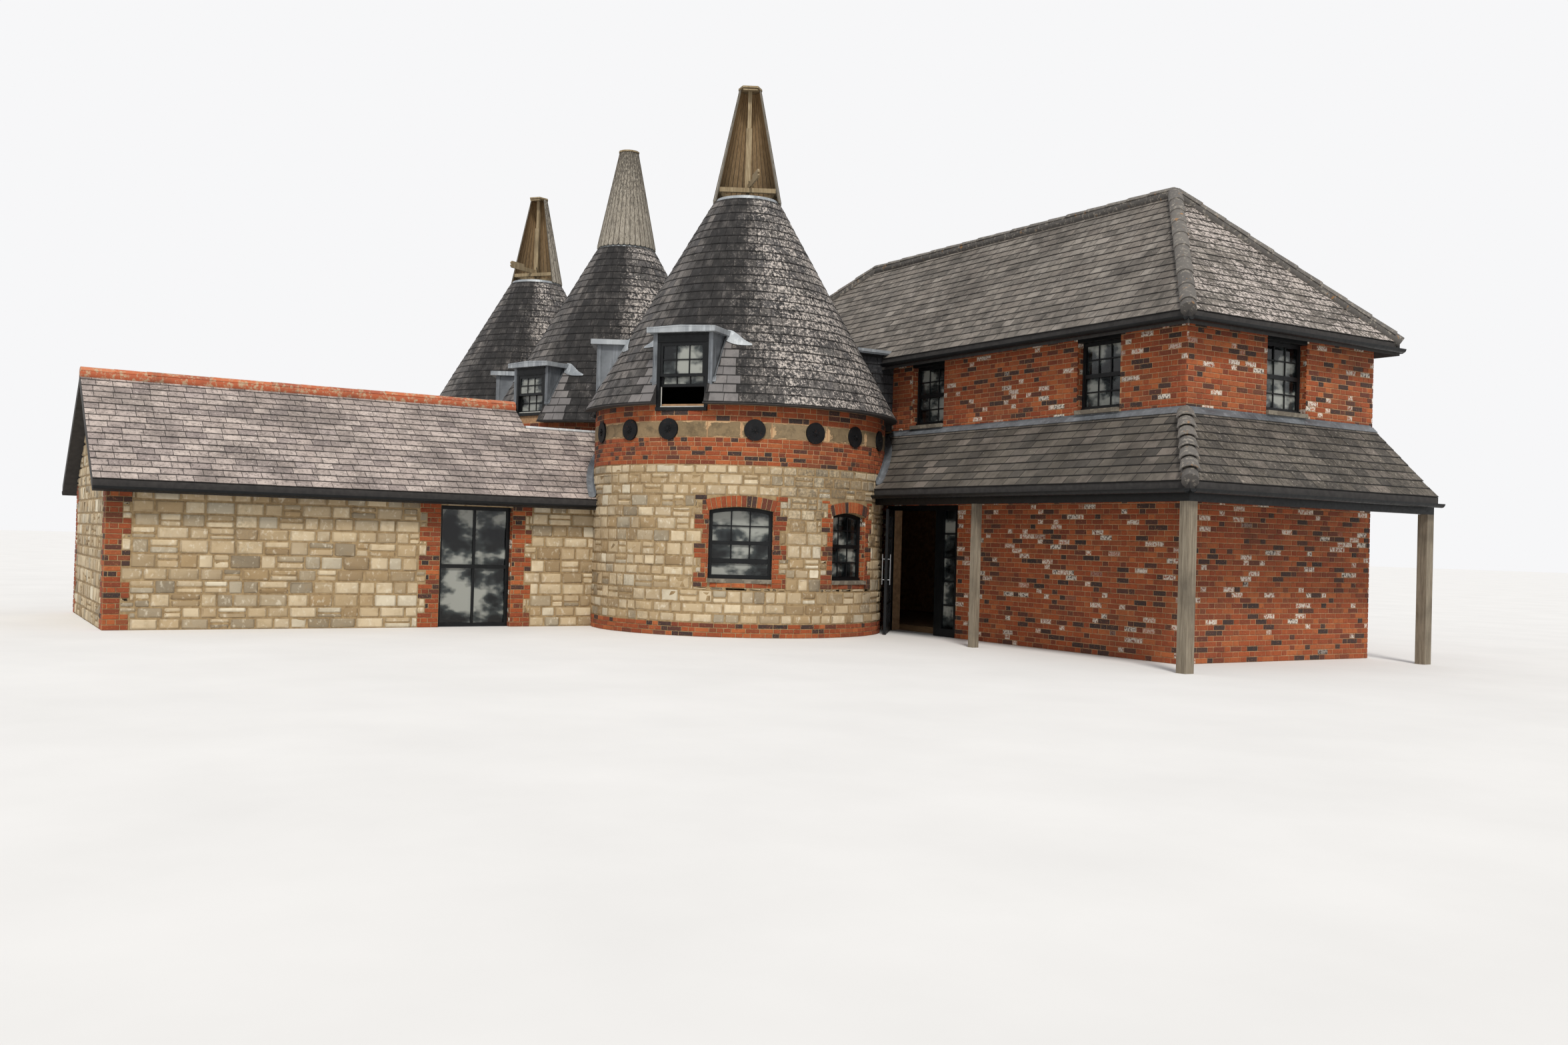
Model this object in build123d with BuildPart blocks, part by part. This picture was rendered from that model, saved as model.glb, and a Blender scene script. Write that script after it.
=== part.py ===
"""Oast house: three round hop kilns with turning cowls, a two-storey stowage with a
hipped slate roof, a lean-to round its near corner, a slate-hung link and a low wing.

Millimetres. The origin is on the ground at the axis of kiln 1. X runs along the kiln row
towards the near corner of the stowage, Y runs into the stowage, Z is up.
"""
from build123d import *
import os
from collections import namedtuple
from math import cos, pi, radians, sin, sqrt, tan

os.makedirs("parts", exist_ok=True)

# Seats: built-in pieces meet with this gap
SEAT = 0.3

# Kilns
KILN_COUNT = 3
KILN_SPACING = 4760.0
KILN_RADIUS = 2440.0
KILN_WALL = 340.0
WALL_SEGMENTS = 8
WALL_TURN = 16.0
STONE_TOP = 2626.0
BRICK_BAND = 934.0
PLATE_RADIUS = 165.0
PLATE_THICKNESS = 30.0
PLATE_DROP = 395.0
PLATE_ANGLES = (-96.0, -75.0, -57.0, -25.0, -2.0, 17.5, 37.5)
END_PLATE_ANGLES = (-95.0, -115.0, -135.0, -155.0, -175.0, 165.0, 145.0)

# Cone roofs, with a thin course of slates under the eave
CONE_OVERHANG = 180.0
CONE_TOP_RADIUS = 570.0
CONE_HEIGHT = 3610.0
CONE_SHELL = 160.0
CONE_FOOT = 200.0
EAVE_COURSE = 15.0
EAVE_COURSE_REACH = 25.0

# Kiln windows, left and right
KILN_WINDOW_DIRECTIONS = (-29.0, 17.0)
KILN_WINDOW_WIDTHS = (980.0, 820.0)
KILN_WINDOW_HEADS = (1990.0, 1960.0)
KILN_WINDOW_SILL = 830.0
KILN_WINDOW_ARCH = 60.0
FRAME_DEPTH = 70.0
FRAME_WIDTH = 60.0
GLASS = 6.0
REVEAL = 110.0
SILL_THICKNESS = 60.0
SILL_REACH = 50.0

# Dormers: kiln, direction and width, then how far over the kiln's eave the sill's foot and
# the roof are, and how far the lower sash is raised
Dormer = namedtuple("Dormer", "kiln direction width sill_lift roof_lift raised")
DORMERS = (
    Dormer(1, -52.5, 1010.0, -115.0, 1087.0, 320.0),
    Dormer(1, -119.5, 1010.0, -115.0, 1100.0, 0.0),
    Dormer(2, -69.3, 910.0, 120.0, 1020.0, 0.0),
    Dormer(2, -121.0, 910.0, 120.0, 1015.0, 0.0),
)
DORMER_INSET = 20.0
DORMER_POST = 72.0
DORMER_CHEEK_INSET = 12.0
DORMER_FRAME = 110.0
DORMER_HEAD = 152.0
DORMER_SILL = 55.0
DORMER_SILL_REACH = 30.0
DORMER_ROOF_EDGE = 82.0
DORMER_ROOF_RISE = 26.0
DORMER_SIDE_EAVE = 73.0
DORMER_FRONT_EAVE = 100.0
DORMER_DEPTH = 1200.0
SASH_BOX = 55.0
SASH_RAIL = 45.0
SASH_THICKNESS = 40.0
SASH_TRACK = 8.0

# Curb at the top of each cone, the beam across it and the cowl that turns on it
CURB_FOOT_RADIUS = 560.0
CURB_RADIUS = 535.0
CURB_HEIGHT = 60.0
CURB_LIP = 60.0
BEAM_WIDTH = 150.0
BEAM_HEIGHT = 180.0
BEAM_DROP = 80.0
PIN_RADIUS = 25.0
PIN_CLEARANCE = 0.3
COWL_GAP = 35.0
COWL_HEIGHT = 1940.0
COWL_RADIUS = 582.0
COWL_TOP_RADIUS = 185.0
COWL_BOARD = 24.0
COWL_BOARDS = 20
COWL_ARC = 224.0
COWL_BOARD_TIP = 22.0
COWL_OPENINGS = (-30.0, 150.0, -52.0)
COWL_FINGER_TURNS = (-7.0, 0.0, -28.0)
POST_SIDE = 65.0
POST_DOUBLING = (96.0, 28.0, 1050.0)
CAP_THICKNESS = 30.0
CAP_RADIUS = 203.0
CAP_FRONT = (195.0, 128.0)
HOOP_TOP = 235.0
HOOP_HEIGHT = 75.0
HOOP_WIDTH = 60.0
FINGER_LENGTH = 900.0
FINGER_HEIGHT = 150.0
FINGER_NECK = 90.0
FINGER_THICKNESS = 30.0
FINGER_RISE = 18.0

# Floors
GROUND_FLOOR = 100.0
UPPER_FLOOR_TOP = 2700.0
UPPER_FLOOR = 200.0

# Stowage
BRICK_WALL = 330.0
STOWAGE_NEAR = 7530.0
STOWAGE_FAR = -5415.0
STOWAGE_WIDTH = 4000.0
STOWAGE_LIFT = 1100.0
STOWAGE_RISE = 2330.0
OVERHANG = 256.0
RIDGE_NEAR = 5440.0
RIDGE_FAR = -2370.0
SLATE_ROOF = 180.0
RIDGE_TILE_RADIUS = 105.0
RIDGE_TILE_TRIM = 3 * RIDGE_TILE_RADIUS
SASH_WIDTH = 850.0
SASH_HEIGHT = 1055.0
SASH_DROP = 165.0
FRONT_SASHES = (1995.0, 5925.0)
BACK_SASHES = (-2400.0, 1995.0, 5925.0)
END_SASH = 2050.0

# Gutters
GUTTER_WIDTH = 110.0
GUTTER_SKIN = 6.0
GUTTER_DROP = 90.0

# Lean-to
LEAN_TO_DEPTH = 1080.0
LEAN_TO_RISE = 1040.0
LEAN_TO_ROOF = 110.0
LEAN_TO_BEAM_INSET = 60.0
LEAN_TO_BEAM_WIDTH = 100.0
LEAN_TO_BEAM_DROP = 240.0
POST_SLIM = 110.0
POST_STOUT = 150.0
POST_1 = 4480.0
FLASHING = 5.0
FLASHING_HEIGHT = 40.0

# Entrance
ENTRANCE_LEFT = 930.0
ENTRANCE_RIGHT = 2860.0
ENTRANCE_HEAD = 2150.0
JAMB = 80.0
LEAF_WIDTH = 1250.0
LEAF_THICKNESS = 45.0
LEAF_CLEARANCE = 5.0
LEAF_STILE = 110.0
LEAF_RAIL = 130.0
LEAF_OPEN = 40.0
HINGE_PIN = 8.0
HINGE_BARREL = 12.0
HINGE_LENGTH = 100.0
HINGE_LUG = 25.0
HINGE_PLATE = 3.0
HINGE_HEIGHTS = (250.0, 1050.0, 1850.0)
ENTRANCE_SETBACK = 20.0
ENTRANCE_FRAME = 90.0
MULLION = 200.0
LEAF_BOTTOM = 10.0

# Link between kiln 1 and the stowage
LINK_HALF = 1000.0
LINK_WALL = 110.0
LINK_LIFT = 70.0
LINK_ROOF = 70.0
LINK_ROOF_REACH = 120.0

# Wing
WING_FACE = -750.0
WING_EAVE_X = -500.0
WING_EAVE = 2070.0
WING_RIDGE_X = -2900.0
WING_RIDGE = 3700.0
WING_GABLE = -9600.0
WING_VERGE = 200.0
WING_WALL = 350.0
WING_ROOF = 160.0
WING_RIDGE_END = -2955.0
WING_VALLEY_X = -2350.0
WING_LEAD = 60.0
WING_SCREEN = (-4900.0, -3730.0)
WING_SCREEN_HEAD = 1900.0

# Worked-out places
EAVE_HEIGHT = STONE_TOP + BRICK_BAND
CONE_EAVE_RADIUS = KILN_RADIUS + CONE_OVERHANG
STOWAGE_EAVE = EAVE_HEIGHT + STOWAGE_LIFT
STOWAGE_FRONT = KILN_RADIUS + SEAT
STOWAGE_BACK = STOWAGE_FRONT + STOWAGE_WIDTH
STOWAGE_RIDGE = STOWAGE_EAVE + STOWAGE_RISE
SASH_HEAD = STOWAGE_EAVE - SASH_DROP
SASH_SILL = SASH_HEAD - SASH_HEIGHT
LEAN_TO_TOP = SASH_SILL - FLASHING_HEIGHT
LEAN_TO_EAVE = LEAN_TO_TOP - LEAN_TO_RISE
LEAN_TO_BEAM_BOTTOM = LEAN_TO_EAVE - LEAN_TO_BEAM_DROP
LINK_TOP = STOWAGE_EAVE + LINK_LIFT
LINK_BOTTOM = SASH_SILL
PLATE_HEIGHT = EAVE_HEIGHT - PLATE_DROP
CONE_TOP = EAVE_HEIGHT + CONE_HEIGHT
BEAM_TOP = CONE_TOP - BEAM_DROP
DORMER_RADIUS = KILN_RADIUS - DORMER_INSET
RIDGE_Y = (STOWAGE_FRONT + STOWAGE_BACK) / 2
ROOF_TAN = STOWAGE_RISE / (STOWAGE_WIDTH / 2 + OVERHANG)
WALL_TOP = STOWAGE_EAVE + OVERHANG * ROOF_TAN - SLATE_ROOF
LEAN_TAN = LEAN_TO_RISE / LEAN_TO_DEPTH
WING_TAN = (WING_RIDGE - WING_EAVE) / (WING_EAVE_X - WING_RIDGE_X)
WING_BACK = 2 * WING_RIDGE_X - WING_FACE
WING_TOP = WING_EAVE + (WING_EAVE_X - WING_FACE) * WING_TAN - WING_ROOF
KILN_X = [-KILN_SPACING * i for i in range(KILN_COUNT)]
KILN_WINDOWS = list(zip(KILN_WINDOW_DIRECTIONS, KILN_WINDOW_WIDTHS, KILN_WINDOW_HEADS))


def save(part, name):
    """Label a finished piece and write it."""
    part.label = name
    export_step(part, f"parts/{name}.step")


def at_kiln(number, direction, distance=0.0, height=0.0):
    """Plane at a distance from a kiln's axis: x outwards, y sideways, z up."""
    turn = radians(direction)
    outwards = (cos(turn), sin(turn), 0)
    place = (KILN_X[number - 1] + distance * cos(turn), distance * sin(turn), height)
    return Plane(origin=place, x_dir=outwards, z_dir=(0, 0, 1))


def kiln_bay(number):
    """Where one kiln ends: half way to its neighbours, and at the stowage wall."""
    reach = 2 * CONE_EAVE_RADIUS
    x = KILN_X[number - 1]
    left = x - (KILN_SPACING / 2 - SEAT / 2 if number < KILN_COUNT else reach)
    right = x + (KILN_SPACING / 2 - SEAT / 2 if number > 1 else reach)
    back = STOWAGE_FRONT - SEAT if x + CONE_EAVE_RADIUS > STOWAGE_FAR else reach
    return left, right, -reach, back


def trim_to_bay(number):
    """Keep what lies inside the kiln's own bay."""
    left, right, front, back = kiln_bay(number)
    with Locations(((left + right) / 2, (front + back) / 2, 0)):
        Box(right - left, back - front, 2 * CONE_TOP, mode=Mode.INTERSECT)


def cut_joints(number):
    """Radial joints that part a ring into its segments."""
    reach = 2 * CONE_EAVE_RADIUS
    for step in range(WALL_SEGMENTS):
        turn = WALL_TURN + 360.0 / WALL_SEGMENTS * (step + 0.5)
        with BuildSketch(at_kiln(number, turn)) as outline:
            with Locations((reach / 2, 0)):
                Rectangle(reach, SEAT)
        extrude(outline.sketch, amount=CONE_TOP, mode=Mode.SUBTRACT)


def ring(number, bottom, top):
    """A length of the kiln's round wall."""
    with BuildSketch(Plane.XY.offset(bottom)) as outline:
        with Locations((KILN_X[number - 1], 0)):
            Circle(KILN_RADIUS)
            Circle(KILN_RADIUS - KILN_WALL, mode=Mode.SUBTRACT)
    extrude(outline.sketch, amount=top - bottom)


def upright_box(plane, length, width, height, mode=Mode.ADD):
    """Box that stands on a plane, from its origin along x, centred across."""
    with BuildSketch(plane) as outline:
        with Locations((length / 2, 0)):
            Rectangle(length, width)
    extrude(outline.sketch, amount=height, mode=mode)


def moved(plane, along, up):
    """The same plane, moved along its x and upwards."""
    place = plane.origin + plane.x_dir * along + Vector(0, 0, up)
    return Plane(origin=place, x_dir=plane.x_dir, z_dir=(0, 0, 1))


def upright_panel(plane, depth, width, height, rise=0.0, mode=Mode.ADD):
    """Panel that stands on a plane's origin, as deep as it runs along x, with a segmental head."""
    half, spring = width / 2, height - rise
    with BuildSketch(Plane(origin=plane.origin, x_dir=plane.y_dir, z_dir=plane.x_dir)) as outline:
        with BuildLine():
            Polyline((half, spring), (half, 0), (-half, 0), (-half, spring))
            if rise:
                ThreePointArc((-half, spring), (0, height), (half, spring))
            else:
                Line((-half, spring), (half, spring))
        make_face()
    extrude(outline.sketch, amount=depth, mode=mode)


def dormer_slot(dormer, reach, low, high):
    """Cut a dormer's window width through a kiln, from outside its eave inwards."""
    outside = CONE_EAVE_RADIUS + KILN_WALL
    front = inwards(at_kiln(dormer.kiln, dormer.direction, outside, low))
    upright_box(front, outside - reach, dormer.width - 2 * DORMER_POST, high - low, Mode.SUBTRACT)


def inwards(plane):
    """The same plane looking at the kiln's axis."""
    return Plane(origin=plane.origin, x_dir=-plane.x_dir, z_dir=plane.z_dir)


# Round stone walls
for number in range(1, KILN_COUNT + 1):
    with BuildPart() as kiln_wall:
        ring(number, 0, STONE_TOP)
        trim_to_bay(number)
        cut_joints(number)
        if number == 1:
            for angle, width, head in KILN_WINDOWS:
                hole = at_kiln(1, angle, KILN_RADIUS / 2, KILN_WINDOW_SILL)
                height = head - KILN_WINDOW_SILL
                upright_panel(hole, KILN_RADIUS, width, height, KILN_WINDOW_ARCH, Mode.SUBTRACT)
    save(kiln_wall.part, f"kiln_{number}_stone_wall")

# Brick bands under the eaves, cut down or built up to the sills of the dormers
for number in range(1, KILN_COUNT + 1):
    with BuildPart() as kiln_band:
        ring(number, STONE_TOP, EAVE_HEIGHT)
        trim_to_bay(number)
        cut_joints(number)
        for dormer in DORMERS:
            if dormer.kiln == number and dormer.sill_lift < 0:
                reach = DORMER_RADIUS - DORMER_FRAME - SEAT
                dormer_slot(dormer, reach, EAVE_HEIGHT + dormer.sill_lift - SEAT, EAVE_HEIGHT + SEAT)
            elif dormer.kiln == number:
                upstand = inwards(at_kiln(number, dormer.direction, DORMER_RADIUS, EAVE_HEIGHT + SEAT))
                width = dormer.width - 2 * DORMER_POST - 2 * SEAT
                upright_box(upstand, DORMER_FRAME, width, dormer.sill_lift - 2 * SEAT)
    save(kiln_band.part, f"kiln_{number}_brick_band")

# Iron pattress plates on the bands
with BuildPart() as pattress_plates:
    for number, angles in ((1, PLATE_ANGLES), (KILN_COUNT, END_PLATE_ANGLES)):
        for angle in angles:
            spot = at_kiln(number, angle, KILN_RADIUS + SEAT, PLATE_HEIGHT)
            with BuildSketch(Plane(origin=spot.origin, x_dir=spot.y_dir, z_dir=spot.x_dir)):
                Circle(PLATE_RADIUS)
            extrude(amount=PLATE_THICKNESS)
save(pattress_plates.part, "pattress_plates")


def cone_solid(number, grow):
    """Solid cone a little larger than a cone roof, for trimming what sits on it."""
    kiln_x = KILN_X[number - 1]
    eave = CONE_EAVE_RADIUS + EAVE_COURSE_REACH + grow
    base = EAVE_HEIGHT - EAVE_COURSE - grow
    with BuildSketch(Plane.XZ) as outline:
        with BuildLine():
            Polyline(
                (kiln_x, base),
                (kiln_x + eave, base),
                (kiln_x + eave, EAVE_HEIGHT),
                (kiln_x + CONE_EAVE_RADIUS + grow, EAVE_HEIGHT),
                (kiln_x + CONE_TOP_RADIUS + grow, CONE_TOP),
                (kiln_x, CONE_TOP),
                close=True,
            )
        make_face()
    revolve(outline.sketch, axis=Axis((kiln_x, 0, 0), (0, 0, 1)), mode=Mode.SUBTRACT)


# Cone roofs, each open at the top and cut down to the eave for its dormers' windows
for number in range(1, KILN_COUNT + 1):
    kiln_x = KILN_X[number - 1]
    foot = KILN_RADIUS - CONE_FOOT
    slope = CONE_HEIGHT / (CONE_EAVE_RADIUS - CONE_TOP_RADIUS)
    foot_top = EAVE_HEIGHT + (CONE_EAVE_RADIUS - CONE_SHELL - foot) * slope
    with BuildPart() as cone_roof:
        with BuildSketch(Plane.XZ):
            with BuildLine():
                Polyline(
                    (kiln_x + foot, EAVE_HEIGHT),
                    (kiln_x + KILN_RADIUS + SEAT, EAVE_HEIGHT),
                    (kiln_x + KILN_RADIUS + SEAT, EAVE_HEIGHT - EAVE_COURSE),
                    (kiln_x + CONE_EAVE_RADIUS + EAVE_COURSE_REACH, EAVE_HEIGHT - EAVE_COURSE),
                    (kiln_x + CONE_EAVE_RADIUS + EAVE_COURSE_REACH, EAVE_HEIGHT),
                    (kiln_x + CONE_EAVE_RADIUS, EAVE_HEIGHT),
                    (kiln_x + CONE_TOP_RADIUS, CONE_TOP),
                    (kiln_x + CONE_TOP_RADIUS - CONE_SHELL, CONE_TOP),
                    (kiln_x + foot, foot_top),
                    close=True,
                )
            make_face()
        revolve(axis=Axis((kiln_x, 0, 0), (0, 0, 1)))
        trim_to_bay(number)
        cut_joints(number)
        for dormer in DORMERS:
            if dormer.kiln == number:
                slot_top = EAVE_HEIGHT + dormer.roof_lift
                dormer_slot(dormer, DORMER_DEPTH, EAVE_HEIGHT - 2 * EAVE_COURSE, slot_top)
    save(cone_roof.part, f"kiln_{number}_cone_roof")

# Dormer cheeks: on each side a corner post and, a little behind its face, the lead cheek
with BuildPart() as dormer_cheeks:
    for dormer in DORMERS:
        low = EAVE_HEIGHT + EAVE_COURSE
        high = EAVE_HEIGHT + dormer.roof_lift - SEAT
        face = inwards(at_kiln(dormer.kiln, dormer.direction, DORMER_RADIUS, low))
        inner_edge = dormer.width / 2 - DORMER_POST
        post = (DORMER_POST, DORMER_POST)
        cheek = (DORMER_DEPTH, DORMER_POST - DORMER_CHEEK_INSET)
        for side in (-1, 1):
            for length, thickness in (post, cheek):
                middle = face.origin + face.y_dir * (side * (inner_edge + thickness / 2))
                place = Plane(origin=middle, x_dir=face.x_dir, z_dir=(0, 0, 1))
                upright_box(place, length, thickness, high - low)
    for number in (1, 2):
        cone_solid(number, SEAT)
save(dormer_cheeks.part, "dormer_cheeks")

# Lead roofs of the dormers, a little higher along the middle
with BuildPart() as dormer_roofs:
    for dormer in DORMERS:
        reach = DORMER_RADIUS + DORMER_FRONT_EAVE
        edge = at_kiln(dormer.kiln, dormer.direction, reach, EAVE_HEIGHT + dormer.roof_lift)
        half = dormer.width / 2 + DORMER_SIDE_EAVE
        with BuildSketch(Plane(origin=edge.origin, x_dir=edge.y_dir, z_dir=edge.x_dir)):
            with BuildLine():
                Polyline(
                    (-half, 0),
                    (half, 0),
                    (half, DORMER_ROOF_EDGE),
                    (0, DORMER_ROOF_EDGE + DORMER_ROOF_RISE),
                    (-half, DORMER_ROOF_EDGE),
                    close=True,
                )
            make_face()
        extrude(amount=-DORMER_DEPTH)
    for number in (1, 2):
        cone_solid(number, SEAT)
save(dormer_roofs.part, "dormer_roofs")


def dormer_frames():
    """Dormer, plane at the top of its sill looking inwards, width and height of its frame."""
    for dormer in DORMERS:
        sill_top = EAVE_HEIGHT + dormer.sill_lift + DORMER_SILL
        face = inwards(at_kiln(dormer.kiln, dormer.direction, DORMER_RADIUS, sill_top))
        height = dormer.roof_lift - dormer.sill_lift - DORMER_SILL - SEAT
        yield dormer, face, dormer.width - 2 * DORMER_POST - 2 * SEAT, height


def dormer_sash_places():
    """Place, width and height of each sash: the upper one outside, the lower one behind it."""
    for dormer, face, width, height in dormer_frames():
        opening = height - DORMER_HEAD
        sash = (opening + SASH_RAIL) / 2
        for depth, lift in ((SASH_TRACK, opening - sash), (2 * SASH_TRACK + SASH_THICKNESS, dormer.raised)):
            yield moved(face, depth, lift), width - 2 * SASH_BOX, sash


def sash_frame(plane, width, height, rise=0.0):
    """Frame of a sash window with its meeting rail: the plane is at its sill, x into the wall."""
    upright_panel(plane, FRAME_DEPTH, width, height, rise)
    for lift, inner, half, head in sash_panes(width, height, rise):
        upright_panel(moved(plane, 0, lift), FRAME_DEPTH, inner, half, head, Mode.SUBTRACT)


def sash_panes(width, height, rise):
    """Lift, width, height and rise of the lower and the upper pane of a frame."""
    inner = width - 2 * FRAME_WIDTH
    half = (height - 3 * FRAME_WIDTH) / 2
    inner_rise = rise * (inner / width) ** 2
    return (FRAME_WIDTH, inner, half, 0.0), (2 * FRAME_WIDTH + half, inner, half, inner_rise)


def sash_glass(plane, width, height, rise=0.0):
    """Two panes that fill a sash frame."""
    for lift, inner, half, head in sash_panes(width, height, rise):
        place = moved(plane, (FRAME_DEPTH - GLASS) / 2, lift + SEAT)
        upright_panel(place, GLASS, inner - 2 * SEAT, half - 2 * SEAT, head)


def kiln_windows():
    """Place, width and height of each ground-floor kiln window."""
    base = KILN_WINDOW_SILL + SILL_THICKNESS + SEAT
    for angle, width, head in KILN_WINDOWS:
        chord = sqrt(KILN_RADIUS**2 - (width / 2) ** 2)
        place = inwards(at_kiln(1, angle, chord - REVEAL, base))
        yield place, width - 2 * SEAT, head - base - SEAT, KILN_WINDOW_ARCH


def stowage_windows():
    """Place, width and height of each first-floor sash of the stowage."""
    base = SASH_SILL + SILL_THICKNESS + SEAT
    size = SASH_WIDTH - 2 * SEAT, SASH_HEAD - SASH_SILL - SILL_THICKNESS - 2 * SEAT
    for x in FRONT_SASHES:
        yield Plane(origin=(x, STOWAGE_FRONT + REVEAL, base), x_dir=(0, 1, 0), z_dir=(0, 0, 1)), *size
    for x in BACK_SASHES:
        yield Plane(origin=(x, STOWAGE_BACK - REVEAL, base), x_dir=(0, -1, 0), z_dir=(0, 0, 1)), *size
    y = STOWAGE_FRONT + END_SASH
    yield Plane(origin=(STOWAGE_NEAR - REVEAL, y, base), x_dir=(-1, 0, 0), z_dir=(0, 0, 1)), *size
    yield Plane(origin=(STOWAGE_FAR + REVEAL, y, base), x_dir=(1, 0, 0), z_dir=(0, 0, 1)), *size


def wing_screen():
    """Place, width and height of the tall glazed screen in the wing."""
    low, high = WING_SCREEN
    plane = Plane(origin=(WING_FACE - REVEAL, (low + high) / 2, SEAT), x_dir=(-1, 0, 0), z_dir=(0, 0, 1))
    yield plane, high - low - 2 * SEAT, WING_SCREEN_HEAD - 2 * SEAT


# Dormer windows: a deep head board over a box frame, and two sashes that slide in it
with BuildPart() as dormer_sashes:
    for dormer, face, width, height in dormer_frames():
        upright_box(face, DORMER_FRAME, width, height)
        upright_box(face, DORMER_FRAME, width - 2 * SASH_BOX, height - DORMER_HEAD, Mode.SUBTRACT)
        sill = moved(face, -DORMER_SILL_REACH, -DORMER_SILL)
        upright_box(sill, DORMER_FRAME + DORMER_SILL_REACH, width, DORMER_SILL)
    for place, width, height in dormer_sash_places():
        upright_box(place, SASH_THICKNESS, width, height)
        pane = moved(place, 0, SASH_RAIL)
        upright_box(pane, SASH_THICKNESS, width - 2 * SASH_RAIL, height - 2 * SASH_RAIL, Mode.SUBTRACT)
save(dormer_sashes.part, "dormer_sashes")

with BuildPart() as window_frames:
    for windows in (kiln_windows(), stowage_windows(), wing_screen()):
        for window in windows:
            sash_frame(*window)
save(window_frames.part, "window_frames")

with BuildPart() as window_glass:
    for windows in (kiln_windows(), stowage_windows(), wing_screen()):
        for window in windows:
            sash_glass(*window)
    for place, width, height in dormer_sash_places():
        pane = moved(place, (SASH_THICKNESS - GLASS) / 2, SASH_RAIL + SEAT)
        upright_box(pane, GLASS, width - 2 * SASH_RAIL - 2 * SEAT, height - 2 * SASH_RAIL - 2 * SEAT)
save(window_glass.part, "window_glass")

# Sills under the kiln and stowage windows
with BuildPart() as window_sills:
    for windows in (kiln_windows(), stowage_windows()):
        for plane, width, *size in windows:
            place = moved(plane, -REVEAL - SILL_REACH, -SILL_THICKNESS - SEAT)
            upright_box(place, REVEAL + SILL_REACH + FRAME_DEPTH, width, SILL_THICKNESS)
save(window_sills.part, "window_sills")

# Curbs: a lead-dressed ring on each cone, and the beam hung in it that carries the cowl's pin
with BuildPart() as kiln_curbs:
    mouth = CONE_TOP_RADIUS - CONE_SHELL
    hanger_height = CONE_TOP + CURB_HEIGHT / 2 - BEAM_TOP
    for x in KILN_X:
        with BuildSketch(Plane.XY.offset(BEAM_TOP - BEAM_HEIGHT)):
            with Locations((x, 0)):
                Rectangle(BEAM_WIDTH, 2 * mouth)
                Circle(mouth - SEAT, mode=Mode.INTERSECT)
                Circle(PIN_RADIUS + PIN_CLEARANCE, mode=Mode.SUBTRACT)
        extrude(amount=BEAM_HEIGHT + hanger_height)
        with BuildSketch(Plane.XY.offset(BEAM_TOP)):
            with Locations((x, 0)):
                Rectangle(BEAM_WIDTH, 2 * (mouth - BEAM_WIDTH))
        extrude(amount=hanger_height, mode=Mode.SUBTRACT)
        with BuildSketch(Plane.XZ):
            with BuildLine():
                Polyline(
                    (x + mouth - CURB_LIP, CONE_TOP),
                    (x + CURB_FOOT_RADIUS, CONE_TOP),
                    (x + CURB_RADIUS, CONE_TOP + CURB_HEIGHT),
                    (x + mouth - CURB_LIP, CONE_TOP + CURB_HEIGHT),
                    close=True,
                )
            make_face()
        revolve(axis=Axis((x, 0, 0), (0, 0, 1)))
save(kiln_curbs.part, "kiln_curbs")

# Cowls: each turns on the pin of its post, with its open side where the photograph shows it
COWL_BASE = CONE_TOP + COWL_GAP
COWL_TOP = COWL_BASE + COWL_HEIGHT
COWL_LEAN = (COWL_RADIUS - COWL_TOP_RADIUS) / COWL_HEIGHT
BOARD_TURN = COWL_ARC / COWL_BOARDS
BOARD_LENGTH = sqrt(COWL_HEIGHT**2 + (COWL_RADIUS - COWL_TOP_RADIUS) ** 2)
BOARD_DEPTH = COWL_BOARD * BOARD_LENGTH / COWL_HEIGHT


def board_half_width(radius):
    """Half the width of a cowl board whose face is at a radius, touching its neighbours inside."""
    return (radius - BOARD_DEPTH) * tan(radians(BOARD_TURN / 2)) - SEAT


def cowl_board(number, direction):
    """One flat board of a cowl, narrow at the top and rounded at its foot."""
    spot = at_kiln(number, direction, COWL_RADIUS, COWL_BASE)
    up = Vector(0, 0, 1) * COWL_HEIGHT - spot.x_dir * (COWL_RADIUS - COWL_TOP_RADIUS)
    face = Plane(origin=spot.origin, x_dir=spot.y_dir, z_dir=spot.y_dir.cross(up))
    wide = board_half_width(COWL_RADIUS - COWL_BOARD_TIP * COWL_LEAN)
    narrow = board_half_width(COWL_TOP_RADIUS)
    with BuildSketch(face) as outline:
        with BuildLine():
            Polyline((wide, COWL_BOARD_TIP), (narrow, BOARD_LENGTH - SEAT), (-narrow, BOARD_LENGTH - SEAT),
                     (-wide, COWL_BOARD_TIP))
            ThreePointArc((-wide, COWL_BOARD_TIP), (0, 0), (wide, COWL_BOARD_TIP))
        make_face()
    extrude(outline.sketch, amount=-COWL_BOARD)


def finger_board(plane):
    """Finger board that starts at a plane's origin, with a narrow neck and a notch in its tip."""
    tip, corner, notch = FINGER_LENGTH, FINGER_HEIGHT / 4, FINGER_HEIGHT / 8
    with BuildSketch(plane.offset(-FINGER_THICKNESS / 2)) as outline:
        with BuildLine():
            Polyline(
                (0, 0),
                (tip - corner, 0),
                (tip, corner),
                (tip, FINGER_HEIGHT / 2 - notch),
                (tip - corner, FINGER_HEIGHT / 2),
                (tip, FINGER_HEIGHT / 2 + notch),
                (tip, FINGER_HEIGHT - corner),
                (tip - corner, FINGER_HEIGHT),
                (tip / 2, FINGER_HEIGHT),
                (tip / 2, FINGER_NECK),
                (0, FINGER_NECK),
                close=True,
            )
        make_face()
    extrude(outline.sketch, amount=FINGER_THICKNESS)


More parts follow.
